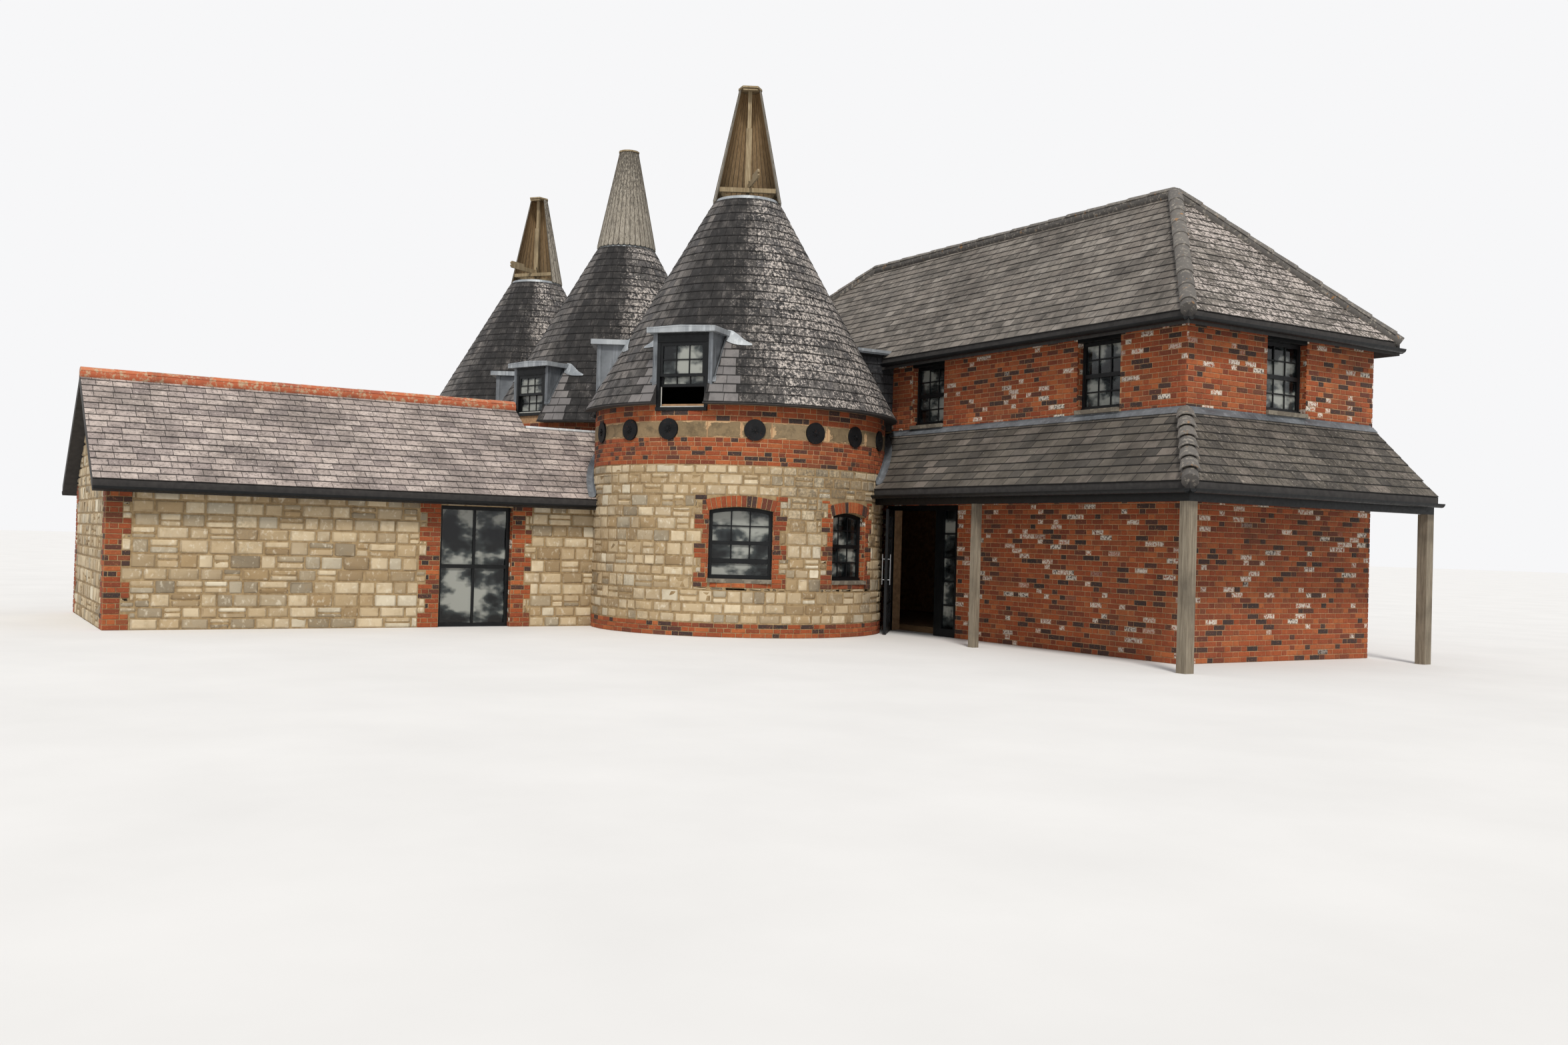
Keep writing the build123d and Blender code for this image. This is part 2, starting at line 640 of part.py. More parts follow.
for number, opening in enumerate(COWL_OPENINGS, 1):
    with BuildPart() as cowl_boards:
        for step in range(COWL_BOARDS):
            cowl_board(number, opening + 180.0 + (step - (COWL_BOARDS - 1) / 2) * BOARD_TURN)
    save(cowl_boards.part, f"cowl_{number}_boards")

    front = at_kiln(number, opening)
    foot = moved(front, 0, BEAM_TOP)
    hoop = COWL_RADIUS - BOARD_DEPTH - HOOP_TOP * COWL_LEAN - SEAT
    chord = hoop * cos(pi - radians(COWL_ARC / 2))
    with BuildPart() as cowl_frame:
        # post, with its pin in the beam and a shorter plank on its open side
        with BuildSketch(foot):
            Rectangle(POST_SIDE, POST_SIDE)
        extrude(amount=COWL_TOP - BEAM_TOP)
        with BuildSketch(foot):
            Circle(PIN_RADIUS)
        extrude(amount=-BEAM_HEIGHT)
        plank_width, plank_depth, plank_length = POST_DOUBLING
        plank_foot = moved(front, POST_SIDE / 2, COWL_BASE + HOOP_TOP)
        upright_box(plank_foot, plank_depth, plank_width, plank_length)
        # cap board, cut straight over the open side
        with BuildSketch(moved(front, 0, COWL_TOP)):
            Circle(CAP_RADIUS)
            with Locations((CAP_RADIUS, 0)):
                Rectangle(2 * CAP_RADIUS, 2 * CAP_RADIUS, mode=Mode.SUBTRACT)
            reach, half = CAP_FRONT
            with BuildLine():
                Polyline((0, -CAP_RADIUS), (reach, -half), (reach, half), (0, CAP_RADIUS), close=True)
            make_face()
        extrude(amount=CAP_THICKNESS)
        # hoop inside the boards, with the straight beam across the open side tied to the post
        hoop_plane = moved(front, 0, COWL_BASE + HOOP_TOP - HOOP_HEIGHT)
        with BuildSketch(hoop_plane):
            Circle(hoop)
            Circle(hoop - HOOP_WIDTH, mode=Mode.SUBTRACT)
            with Locations((chord - HOOP_WIDTH / 2, 0)):
                Rectangle(HOOP_WIDTH, 2 * hoop)
            with Locations((chord / 2, 0)):
                Rectangle(chord, HOOP_WIDTH)
            with Locations((chord + hoop, 0)):
                Rectangle(2 * hoop, 2 * hoop, mode=Mode.SUBTRACT)
            Circle(hoop, mode=Mode.INTERSECT)
        extrude(amount=HOOP_HEIGHT)
        # finger board, rising out of the open side
        side = at_kiln(number, opening + COWL_FINGER_TURNS[number - 1], 0, COWL_BASE + HOOP_TOP)
        upright = Plane(origin=side.origin, x_dir=side.x_dir, z_dir=-side.y_dir)
        finger_board(upright.rotated((0, 0, FINGER_RISE)))
    save(cowl_frame.part, f"cowl_{number}_frame")

# Ground floors: the three kilns, the stowage and the wing
with BuildPart() as ground_floors:
    with BuildSketch(Plane.XY):
        for x in KILN_X:
            with Locations((x, 0)):
                Circle(KILN_RADIUS - KILN_WALL - SEAT)
        with Locations(((STOWAGE_NEAR + STOWAGE_FAR) / 2, RIDGE_Y)):
            Rectangle(STOWAGE_NEAR - STOWAGE_FAR - 2 * BRICK_WALL - 2 * SEAT,
                      STOWAGE_WIDTH - 2 * BRICK_WALL - 2 * SEAT)
    extrude(amount=GROUND_FLOOR)
    with BuildSketch(Plane.XY):
        with Locations((WING_RIDGE_X, (WING_GABLE + WING_WALL + SEAT) / 2)):
            Rectangle(WING_FACE - WING_BACK - 2 * WING_WALL - 2 * SEAT,
                      -WING_GABLE - WING_WALL - SEAT)
        for x in KILN_X:
            with Locations((x, 0)):
                Circle(KILN_RADIUS + SEAT, mode=Mode.SUBTRACT)
    extrude(amount=GROUND_FLOOR)
save(ground_floors.part, "ground_floors")

# Upper floors of the kilns and the stowage
with BuildPart() as upper_floors:
    with BuildSketch(Plane.XY.offset(UPPER_FLOOR_TOP - UPPER_FLOOR)):
        for x in KILN_X:
            with Locations((x, 0)):
                Circle(KILN_RADIUS - KILN_WALL - SEAT)
        with Locations(((STOWAGE_NEAR + STOWAGE_FAR) / 2, RIDGE_Y)):
            Rectangle(STOWAGE_NEAR - STOWAGE_FAR - 2 * BRICK_WALL - 2 * SEAT,
                      STOWAGE_WIDTH - 2 * BRICK_WALL - 2 * SEAT)
    extrude(amount=UPPER_FLOOR)
save(upper_floors.part, "upper_floors")


def plain_box(low, high, mode=Mode.ADD):
    """Box from its lowest corner to its highest."""
    with BuildSketch(Plane.XY.offset(low[2])) as outline:
        with Locations(((low[0] + high[0]) / 2, (low[1] + high[1]) / 2)):
            Rectangle(high[0] - low[0], high[1] - low[1])
    extrude(outline.sketch, amount=high[2] - low[2], mode=mode)


def sash_hole(x, y, along_x):
    """Cut a first-floor sash opening through a wall that runs along X or Y."""
    half = SASH_WIDTH / 2
    deep = BRICK_WALL * 2
    size = (half, deep) if along_x else (deep, half)
    plain_box((x - size[0], y - size[1], SASH_SILL), (x + size[0], y + size[1], SASH_HEAD), Mode.SUBTRACT)


def roof_slope(corners, thickness):
    """Slab whose top is a plane polygon, with upright edges that mitre on its neighbours."""
    top = Face(Wire.make_polygon([Vector(*corner) for corner in corners]))
    extrude(top, amount=thickness, dir=(0, 0, -1))


# Hipped slate roof of the stowage
EAVE_NEAR = STOWAGE_NEAR + OVERHANG
EAVE_FAR = STOWAGE_FAR - OVERHANG
EAVE_FRONT = STOWAGE_FRONT - OVERHANG
EAVE_BACK = STOWAGE_BACK + OVERHANG
ridge_near = (RIDGE_NEAR, RIDGE_Y, STOWAGE_RIDGE)
ridge_far = (RIDGE_FAR, RIDGE_Y, STOWAGE_RIDGE)
near_front = (EAVE_NEAR, EAVE_FRONT, STOWAGE_EAVE)
near_back = (EAVE_NEAR, EAVE_BACK, STOWAGE_EAVE)
far_front = (EAVE_FAR, EAVE_FRONT, STOWAGE_EAVE)
far_back = (EAVE_FAR, EAVE_BACK, STOWAGE_EAVE)
STOWAGE_SLOPES = {
    "front": (far_front, near_front, ridge_near, ridge_far),
    "back": (near_back, far_back, ridge_far, ridge_near),
    "near_end": (near_front, near_back, ridge_near),
    "far_end": (far_back, far_front, ridge_far),
}


def under_slopes(slopes, thickness, lift=0.0):
    """Cut away what would stand inside the slabs of a roof."""
    for corners in slopes:
        top = Face(Wire.make_polygon([Vector(*corner) + Vector(0, 0, lift) for corner in corners]))
        extrude(top, amount=thickness + lift, dir=(0, 0, -1), mode=Mode.SUBTRACT)


# Stowage walls: the front is split beside and over the entrance
INNER_FRONT = STOWAGE_FRONT + BRICK_WALL
INNER_BACK = STOWAGE_BACK - BRICK_WALL

with BuildPart() as front_wall_left:
    plain_box((STOWAGE_FAR, STOWAGE_FRONT, 0), (ENTRANCE_LEFT, INNER_FRONT, ENTRANCE_HEAD))
save(front_wall_left.part, "stowage_front_wall_left")

with BuildPart() as front_wall_right:
    plain_box((ENTRANCE_RIGHT, STOWAGE_FRONT, 0), (STOWAGE_NEAR, INNER_FRONT, ENTRANCE_HEAD))
save(front_wall_right.part, "stowage_front_wall_right")

with BuildPart() as front_wall_upper:
    plain_box((STOWAGE_FAR, STOWAGE_FRONT, ENTRANCE_HEAD), (STOWAGE_NEAR, INNER_FRONT, WALL_TOP))
    for x in FRONT_SASHES:
        sash_hole(x, STOWAGE_FRONT, True)
    under_slopes(STOWAGE_SLOPES.values(), SLATE_ROOF + SEAT)
save(front_wall_upper.part, "stowage_front_wall_upper")

with BuildPart() as back_wall:
    plain_box((STOWAGE_FAR, INNER_BACK, 0), (STOWAGE_NEAR, STOWAGE_BACK, WALL_TOP))
    for x in BACK_SASHES:
        sash_hole(x, STOWAGE_BACK, True)
    under_slopes(STOWAGE_SLOPES.values(), SLATE_ROOF + SEAT)
save(back_wall.part, "stowage_back_wall")

with BuildPart() as near_end_wall:
    plain_box((STOWAGE_NEAR - BRICK_WALL, INNER_FRONT, 0), (STOWAGE_NEAR, INNER_BACK, WALL_TOP))
    sash_hole(STOWAGE_NEAR, STOWAGE_FRONT + END_SASH, False)
    under_slopes(STOWAGE_SLOPES.values(), SLATE_ROOF + SEAT)
save(near_end_wall.part, "stowage_near_end_wall")

with BuildPart() as far_end_wall:
    plain_box((STOWAGE_FAR, INNER_FRONT, 0), (STOWAGE_FAR + BRICK_WALL, INNER_BACK, WALL_TOP))
    sash_hole(STOWAGE_FAR, STOWAGE_FRONT + END_SASH, False)
    under_slopes(STOWAGE_SLOPES.values(), SLATE_ROOF + SEAT)
save(far_end_wall.part, "stowage_far_end_wall")


def kiln_out(number):
    """Cut away what would stand inside a kiln's wall."""
    with BuildSketch(Plane.XY) as outline:
        with Locations((KILN_X[number - 1], 0)):
            Circle(KILN_RADIUS + SEAT)
    extrude(outline.sketch, amount=EAVE_HEIGHT, mode=Mode.SUBTRACT)


for side, corners in STOWAGE_SLOPES.items():
    with BuildPart() as slope:
        roof_slope(corners, SLATE_ROOF)
        if side == "front":
            for number in (1, 2):
                cone_solid(number, SEAT)
    save(slope.part, f"stowage_roof_{side}")

# Half-round tiles over the ridge and hips of the stowage
with BuildPart() as ridge_and_hips:
    lines = [(ridge_far, ridge_near), (near_front, ridge_near), (near_back, ridge_near)]
    lines += [(far_front, ridge_far), (far_back, ridge_far)]
    for start, end in lines:
        run = Vector(*end) - Vector(*start)
        with BuildSketch(Plane(origin=start, z_dir=run)):
            Circle(RIDGE_TILE_RADIUS)
        extrude(amount=run.length)
    under_slopes(STOWAGE_SLOPES.values(), RIDGE_TILE_TRIM, SEAT)
save(ridge_and_hips.part, "stowage_ridge_and_hips")

# Lean-to roof along the front and round the near corner
LEAN_X = STOWAGE_NEAR + LEAN_TO_DEPTH
LEAN_Y = STOWAGE_FRONT - LEAN_TO_DEPTH
lean_corner = (LEAN_X, LEAN_Y, LEAN_TO_EAVE)
lean_top = (STOWAGE_NEAR + SEAT, STOWAGE_FRONT - SEAT, LEAN_TO_TOP)
LEAN_TO_SLOPES = {
    "front": (
        (0, LEAN_Y, LEAN_TO_EAVE),
        lean_corner,
        lean_top,
        (0, STOWAGE_FRONT - SEAT, LEAN_TO_TOP),
    ),
    "end": (
        lean_corner,
        (LEAN_X, STOWAGE_BACK, LEAN_TO_EAVE),
        (STOWAGE_NEAR + SEAT, STOWAGE_BACK, LEAN_TO_TOP),
        lean_top,
    ),
}
for side, corners in LEAN_TO_SLOPES.items():
    with BuildPart() as slope:
        roof_slope(corners, LEAN_TO_ROOF)
        if side == "front":
            kiln_out(1)
            cone_solid(1, SEAT)
    save(slope.part, f"lean_to_roof_{side}")

# Stepped hip tiles at the lean-to's corner
with BuildPart() as lean_to_hip:
    run = Vector(*lean_top) - Vector(*lean_corner)
    with BuildSketch(Plane(origin=lean_corner, z_dir=run)):
        Circle(RIDGE_TILE_RADIUS)
    extrude(amount=run.length - RIDGE_TILE_RADIUS)
    under_slopes(LEAN_TO_SLOPES.values(), RIDGE_TILE_TRIM, SEAT)
    corner = (STOWAGE_NEAR + SEAT, STOWAGE_BACK, CONE_TOP)
    plain_box((STOWAGE_FAR, STOWAGE_FRONT - SEAT, 0), corner, Mode.SUBTRACT)
save(lean_to_hip.part, "lean_to_hip_tiles")

# Eaves beam and posts of the lean-to
BEAM_OUT_X = LEAN_X - LEAN_TO_BEAM_INSET
BEAM_OUT_Y = LEAN_Y + LEAN_TO_BEAM_INSET
LEAN_BEAM_TOP = LEAN_TO_EAVE + LEAN_TO_BEAM_INSET * LEAN_TAN - LEAN_TO_ROOF
with BuildPart() as lean_to_beam:
    plain_box((0, BEAM_OUT_Y, LEAN_TO_BEAM_BOTTOM),
              (BEAM_OUT_X, BEAM_OUT_Y + LEAN_TO_BEAM_WIDTH, LEAN_BEAM_TOP))
    plain_box((BEAM_OUT_X - LEAN_TO_BEAM_WIDTH, BEAM_OUT_Y, LEAN_TO_BEAM_BOTTOM),
              (BEAM_OUT_X, STOWAGE_BACK, LEAN_BEAM_TOP))
    kiln_out(1)
save(lean_to_beam.part, "lean_to_beam")

POSTS = (
    (POST_1, BEAM_OUT_Y + LEAN_TO_BEAM_WIDTH / 2, POST_SLIM),
    (BEAM_OUT_X - POST_STOUT / 2, BEAM_OUT_Y + POST_STOUT / 2, POST_STOUT),
    (BEAM_OUT_X - POST_STOUT / 2, STOWAGE_BACK - POST_STOUT / 2, POST_STOUT),
)
with BuildPart() as lean_to_posts:
    for x, y, side in POSTS:
        plain_box((x - side / 2, y - side / 2, 0), (x + side / 2, y + side / 2, LEAN_TO_BEAM_BOTTOM))
save(lean_to_posts.part, "lean_to_posts")

# Lead flashing over the lean-to, on the front and near end walls
with BuildPart() as lean_to_flashing:
    flash_low = LEAN_TO_TOP + SEAT
    flash_high = SASH_SILL - SEAT
    flash_out = SEAT + FLASHING
    plain_box((LINK_HALF + SEAT, STOWAGE_FRONT - flash_out, flash_low),
              (STOWAGE_NEAR + flash_out, STOWAGE_FRONT - SEAT, flash_high))
    plain_box((STOWAGE_NEAR + SEAT, STOWAGE_FRONT - flash_out, flash_low),
              (STOWAGE_NEAR + flash_out, STOWAGE_BACK, flash_high))
save(lean_to_flashing.part, "lean_to_flashing")


def gutter_run(start, end, outwards):
    """Half-round gutter along one eave, from corner to corner."""
    along = (Vector(*end) - Vector(*start)).normalized()
    side = Vector(*outwards)
    face = Plane(origin=start, x_dir=side, z_dir=along)
    up = 1 if face.y_dir.Z > 0 else -1
    length = (Vector(*end) - Vector(*start)).length
    radius = GUTTER_WIDTH / 2
    with BuildSketch(face) as outline:
        with Locations((radius + SEAT, up * (-GUTTER_DROP))):
            Circle(radius)
            Circle(radius - GUTTER_SKIN, mode=Mode.SUBTRACT)
            with Locations((0, up * radius / 2)):
                Rectangle(2 * radius, radius, mode=Mode.SUBTRACT)
    extrude(outline.sketch, amount=length)


# Gutters of the stowage, the lean-to and the wing
with BuildPart() as gutters:
    gutter_run((EAVE_FAR, EAVE_FRONT, STOWAGE_EAVE), (EAVE_NEAR, EAVE_FRONT, STOWAGE_EAVE), (0, -1, 0))
    gutter_run((EAVE_NEAR, EAVE_BACK, STOWAGE_EAVE), (EAVE_FAR, EAVE_BACK, STOWAGE_EAVE), (0, 1, 0))
    gutter_run((EAVE_NEAR, EAVE_FRONT, STOWAGE_EAVE), (EAVE_NEAR, EAVE_BACK, STOWAGE_EAVE), (1, 0, 0))
    gutter_run((EAVE_FAR, EAVE_BACK, STOWAGE_EAVE), (EAVE_FAR, EAVE_FRONT, STOWAGE_EAVE), (-1, 0, 0))
    gutter_run((0, LEAN_Y, LEAN_TO_EAVE), (LEAN_X, LEAN_Y, LEAN_TO_EAVE), (0, -1, 0))
    gutter_run((LEAN_X, LEAN_Y, LEAN_TO_EAVE), (LEAN_X, STOWAGE_BACK, LEAN_TO_EAVE), (1, 0, 0))
    front_eave, back_eave = WING_EAVE_X, 2 * WING_RIDGE_X - WING_EAVE_X
    gable, kilns = WING_GABLE - WING_VERGE, -KILN_RADIUS
    gutter_run((front_eave, gable, WING_EAVE), (front_eave, kilns, WING_EAVE), (1, 0, 0))
    gutter_run((back_eave, kilns, WING_EAVE), (back_eave, gable, WING_EAVE), (-1, 0, 0))
    for number in (1, 2):
        cone_solid(number, SEAT)
        kiln_out(number)
    link_out = LINK_HALF + LINK_ROOF_REACH + SEAT
    plain_box((-link_out, 0, LEAN_TO_TOP), (link_out, STOWAGE_FRONT, CONE_TOP), Mode.SUBTRACT)
save(gutters.part, "gutters")

# Entrance: frame with a narrow sidelight
FRAME_FRONT = STOWAGE_FRONT + ENTRANCE_SETBACK
FRAME_BACK = FRAME_FRONT + ENTRANCE_FRAME
HINGE_X = ENTRANCE_LEFT + JAMB
LEAF_RIGHT = HINGE_X + LEAF_WIDTH + 2 * LEAF_CLEARANCE
LEAF_TOP = ENTRANCE_HEAD - JAMB - LEAF_CLEARANCE
with BuildPart() as entrance_frame:
    plain_box((ENTRANCE_LEFT + SEAT, FRAME_FRONT, 0),
              (ENTRANCE_RIGHT - SEAT, FRAME_BACK, ENTRANCE_HEAD - SEAT))
    plain_box((HINGE_X, FRAME_FRONT, 0), (LEAF_RIGHT, FRAME_BACK, ENTRANCE_HEAD - JAMB), Mode.SUBTRACT)
    plain_box((LEAF_RIGHT + MULLION, FRAME_FRONT, LEAF_RAIL),
              (ENTRANCE_RIGHT - JAMB - SEAT, FRAME_BACK, ENTRANCE_HEAD - JAMB), Mode.SUBTRACT)
    for z in HINGE_HEIGHTS:
        for low in (z - SEAT - HINGE_LUG, z + HINGE_LENGTH + SEAT):
            with BuildSketch(Plane.XY.offset(low)):
                with Locations((HINGE_X, FRAME_FRONT - HINGE_BARREL)):
                    Circle(HINGE_BARREL)
                with Locations((HINGE_X - HINGE_BARREL / 2, FRAME_FRONT - HINGE_BARREL / 2)):
                    Rectangle(HINGE_BARREL, HINGE_BARREL)
            extrude(amount=HINGE_LUG)
        with BuildSketch(Plane.XY.offset(z - SEAT)):
            with Locations((HINGE_X, FRAME_FRONT - HINGE_BARREL)):
                Circle(HINGE_PIN)
        extrude(amount=HINGE_LENGTH + 2 * SEAT)
save(entrance_frame.part, "entrance_frame")

with BuildPart() as sidelight_glass:
    middle = (FRAME_FRONT + FRAME_BACK) / 2
    plain_box((LEAF_RIGHT + MULLION + SEAT, middle - GLASS / 2, LEAF_RAIL + SEAT),
              (ENTRANCE_RIGHT - JAMB - 2 * SEAT, middle + GLASS / 2, ENTRANCE_HEAD - JAMB - SEAT))
save(sidelight_glass.part, "sidelight_glass")

# Entrance door leaf, standing open at LEAF_OPEN degrees on its hinges
turn = radians(-LEAF_OPEN)
hinge = (HINGE_X, FRAME_FRONT - HINGE_BARREL, 0)
hinge_plane = Plane(origin=hinge, x_dir=(cos(turn), sin(turn), 0), z_dir=(0, 0, 1))


def leaf_box(low, high, mode=Mode.ADD):
    """Box in the leaf's own directions: along it, through it and up."""
    with BuildSketch(hinge_plane.offset(low[2])) as outline:
        with Locations(((low[0] + high[0]) / 2, (low[1] + high[1]) / 2)):
            Rectangle(high[0] - low[0], high[1] - low[1])
    extrude(outline.sketch, amount=high[2] - low[2], mode=mode)


LEAF_NEAR = LEAF_CLEARANCE
LEAF_FAR = LEAF_CLEARANCE + LEAF_WIDTH
LEAF_FACE = HINGE_BARREL
LEAF_BACK = HINGE_BARREL + LEAF_THICKNESS
with BuildPart() as entrance_door:
    leaf_box((LEAF_NEAR, LEAF_FACE, LEAF_BOTTOM), (LEAF_FAR, LEAF_BACK, LEAF_TOP))
    leaf_box((LEAF_NEAR + LEAF_STILE, LEAF_FACE, LEAF_BOTTOM + LEAF_RAIL),
             (LEAF_FAR - LEAF_STILE, LEAF_BACK, LEAF_TOP - LEAF_STILE), Mode.SUBTRACT)
    for z in HINGE_HEIGHTS:
        with BuildSketch(hinge_plane.offset(z)):
            Circle(HINGE_BARREL)
            with Locations((HINGE_BARREL, HINGE_BARREL - HINGE_PLATE / 2)):
                Rectangle(2 * HINGE_BARREL, HINGE_PLATE)
        extrude(amount=HINGE_LENGTH)
        with BuildSketch(hinge_plane.offset(z)):
            Circle(HINGE_PIN + PIN_CLEARANCE)
        extrude(amount=HINGE_LENGTH, mode=Mode.SUBTRACT)
save(entrance_door.part, "entrance_door")

with BuildPart() as door_glass:
    middle = (LEAF_FACE + LEAF_BACK) / 2
    leaf_box((LEAF_NEAR + LEAF_STILE + SEAT, middle - GLASS / 2, LEAF_BOTTOM + LEAF_RAIL + SEAT),
             (LEAF_FAR - LEAF_STILE - SEAT, middle + GLASS / 2, LEAF_TOP - LEAF_STILE - SEAT))
save(door_glass.part, "entrance_door_glass")

# Slate-hung link between the first cone roof and the stowage, with a flat lead roof
with BuildPart() as link_walls:
    for side in (-1, 1):
        outer = side * LINK_HALF
        inner = side * (LINK_HALF - LINK_WALL)
        plain_box((min(outer, inner), 0, LINK_BOTTOM), (max(outer, inner), STOWAGE_FRONT - SEAT, LINK_TOP))
    cone_solid(1, SEAT)
    kiln_out(1)
    under_slopes(STOWAGE_SLOPES.values(), SLATE_ROOF + SEAT)
save(link_walls.part, "link_walls")

with BuildPart() as link_roof:
    reach = LINK_HALF + LINK_ROOF_REACH
    plain_box((-reach, 0, LINK_TOP), (reach, STOWAGE_FRONT - SEAT, LINK_TOP + LINK_ROOF))
    cone_solid(1, SEAT)
    under_slopes(STOWAGE_SLOPES.values(), CONE_TOP)
save(link_roof.part, "link_roof")

# Wing walls
def wing_wall_box(x):
    """One long wall of the wing, up to the line of the kilns' axes."""
    plain_box((min(x), WING_GABLE, 0), (max(x), 0, WING_TOP))


with BuildPart() as wing_front_wall:
    wing_wall_box((WING_FACE, WING_FACE - WING_WALL))
    low, high = WING_SCREEN
    plain_box((WING_FACE - 2 * WING_WALL, low, 0),
              (WING_FACE + WING_WALL, high, WING_SCREEN_HEAD), Mode.SUBTRACT)
    for number in (1, 2):
        kiln_out(number)
save(wing_front_wall.part, "wing_front_wall")

with BuildPart() as wing_back_wall:
    wing_wall_box((WING_BACK, WING_BACK + WING_WALL))
    for number in (1, 2):
        kiln_out(number)
save(wing_back_wall.part, "wing_back_wall")

with BuildPart() as wing_gable:
    with BuildSketch(Plane(origin=(0, WING_GABLE, 0), x_dir=(1, 0, 0), z_dir=(0, -1, 0))):
        with BuildLine():
            Polyline(
                (WING_FACE - WING_WALL - SEAT, 0),
                (WING_FACE - WING_WALL - SEAT, WING_TOP),
                (WING_RIDGE_X, WING_RIDGE - WING_ROOF),
                (WING_BACK + WING_WALL + SEAT, WING_TOP),
                (WING_BACK + WING_WALL + SEAT, 0),
                close=True,
            )
        make_face()
    extrude(amount=-WING_WALL)
save(wing_gable.part, "wing_gable_wall")

# Wing roof: each slope runs under the eaves of the kilns beside the valley
verge = WING_GABLE - WING_VERGE
valley_z = WING_EAVE + (WING_EAVE_X - WING_VALLEY_X) * WING_TAN


def wing_slope(mirror):
    """Corners of one slope of the wing, in front of the ridge or behind it."""
    def at(x, y, z):
        return (2 * WING_RIDGE_X - x if mirror else x, y, z)
    return (
        at(WING_EAVE_X, verge, WING_EAVE),
        at(WING_EAVE_X, 0, WING_EAVE),
        at(WING_VALLEY_X, 0, valley_z),
        at(WING_VALLEY_X, WING_RIDGE_END, valley_z),
        at(WING_RIDGE_X, WING_RIDGE_END, WING_RIDGE),
        at(WING_RIDGE_X, verge, WING_RIDGE),
    )


for name, mirror in (("front", False), ("back", True)):
    with BuildPart() as slope:
        roof_slope(wing_slope(mirror), WING_ROOF)
        for number in (1, 2):
            kiln_out(number)
            cone_solid(number, SEAT)
    save(slope.part, f"wing_roof_{name}")

# Lead valley between the wing's ridge end and the kilns, and the gablet that closes the ridge end
with BuildPart() as wing_valley:
    plain_box((2 * WING_RIDGE_X - WING_VALLEY_X + SEAT, WING_RIDGE_END + SEAT, valley_z - WING_LEAD),
              (WING_VALLEY_X - SEAT, 0, valley_z))
    gablet_peak = WING_RIDGE - WING_ROOF - SEAT / WING_TAN
    gablet_foot = valley_z - WING_LEAD
    gablet_half = (gablet_peak - gablet_foot) / WING_TAN
    with BuildSketch(Plane(origin=(WING_RIDGE_X, WING_RIDGE_END, 0), x_dir=(1, 0, 0), z_dir=(0, -1, 0))):
        with BuildLine():
            Polyline((-gablet_half, gablet_foot), (gablet_half, gablet_foot), (0, gablet_peak), close=True)
        make_face()
    extrude(amount=WING_LEAD)
    for number in (1, 2):
        kiln_out(number)
        cone_solid(number, SEAT)
save(wing_valley.part, "wing_valley_lead")

# Clay ridge tiles of the wing
with BuildPart() as wing_ridge:
    with BuildSketch(Plane(origin=(WING_RIDGE_X, verge, WING_RIDGE), z_dir=(0, 1, 0))):
        Circle(RIDGE_TILE_RADIUS)
    extrude(amount=WING_RIDGE_END - verge)
    under_slopes((wing_slope(False), wing_slope(True)), RIDGE_TILE_TRIM, SEAT)
save(wing_ridge.part, "wing_ridge_tiles")
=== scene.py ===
# %% [markdown]
# The oast house: three round hop kilns with turning cowls, a brick stowage under a hipped
# slate roof, a lean-to round its near corner, a slate-hung link and a low stone wing.
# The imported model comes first. It holds every piece at its real size and place, so all the
# work here is on finishes and on the small pieces that lie on those big ones: stones,
# bricks, slates, bars and lead. Nothing of the model is moved.

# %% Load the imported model
from math import acos, asin, atan2, cos, pi, radians, sin, sqrt

import bmesh
import bpy
import numpy as np
from mathutils import Matrix, Vector


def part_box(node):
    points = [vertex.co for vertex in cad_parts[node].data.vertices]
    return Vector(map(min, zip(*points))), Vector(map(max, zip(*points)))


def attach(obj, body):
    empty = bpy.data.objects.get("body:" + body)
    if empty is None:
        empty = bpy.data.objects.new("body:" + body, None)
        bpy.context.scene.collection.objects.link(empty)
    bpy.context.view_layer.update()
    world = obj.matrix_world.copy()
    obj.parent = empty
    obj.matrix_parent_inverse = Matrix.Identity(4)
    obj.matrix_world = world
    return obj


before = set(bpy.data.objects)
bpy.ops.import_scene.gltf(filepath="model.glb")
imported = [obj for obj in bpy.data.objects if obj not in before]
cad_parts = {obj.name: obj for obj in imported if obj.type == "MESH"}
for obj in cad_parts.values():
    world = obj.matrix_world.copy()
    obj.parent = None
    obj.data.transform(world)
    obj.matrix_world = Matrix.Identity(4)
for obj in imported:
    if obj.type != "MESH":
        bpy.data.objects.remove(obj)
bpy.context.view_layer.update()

# %% [markdown]
# The camera stands where the photographer stood. Its place and turn were found by lining up
# corners whose real places are known, such as the kiln axes and the eaves, with the picture.
# A camera looks along its own -Z, so its matrix is built from three directions: right, up
# and back.

# %% Camera at the photographer's place
PICTURE_WIDTH = 2352
FOCAL_PIXELS = 2058.06
SENSOR = 36.0
FARTHEST = 300
EYE = Vector((20.171, -11.678, 1.486))
YAW, PITCH, ROLL = radians(31.984), radians(0.785), radians(1.608)

level_ahead = Vector((-cos(YAW), sin(YAW), 0))
level_right = Vector((sin(YAW), cos(YAW), 0))
ahead = level_ahead * cos(PITCH) + Vector((0, 0, sin(PITCH)))
raised = -level_ahead * sin(PITCH) + Vector((0, 0, cos(PITCH)))
right = level_right * cos(ROLL) + raised * sin(ROLL)
upward = -level_right * sin(ROLL) + raised * cos(ROLL)

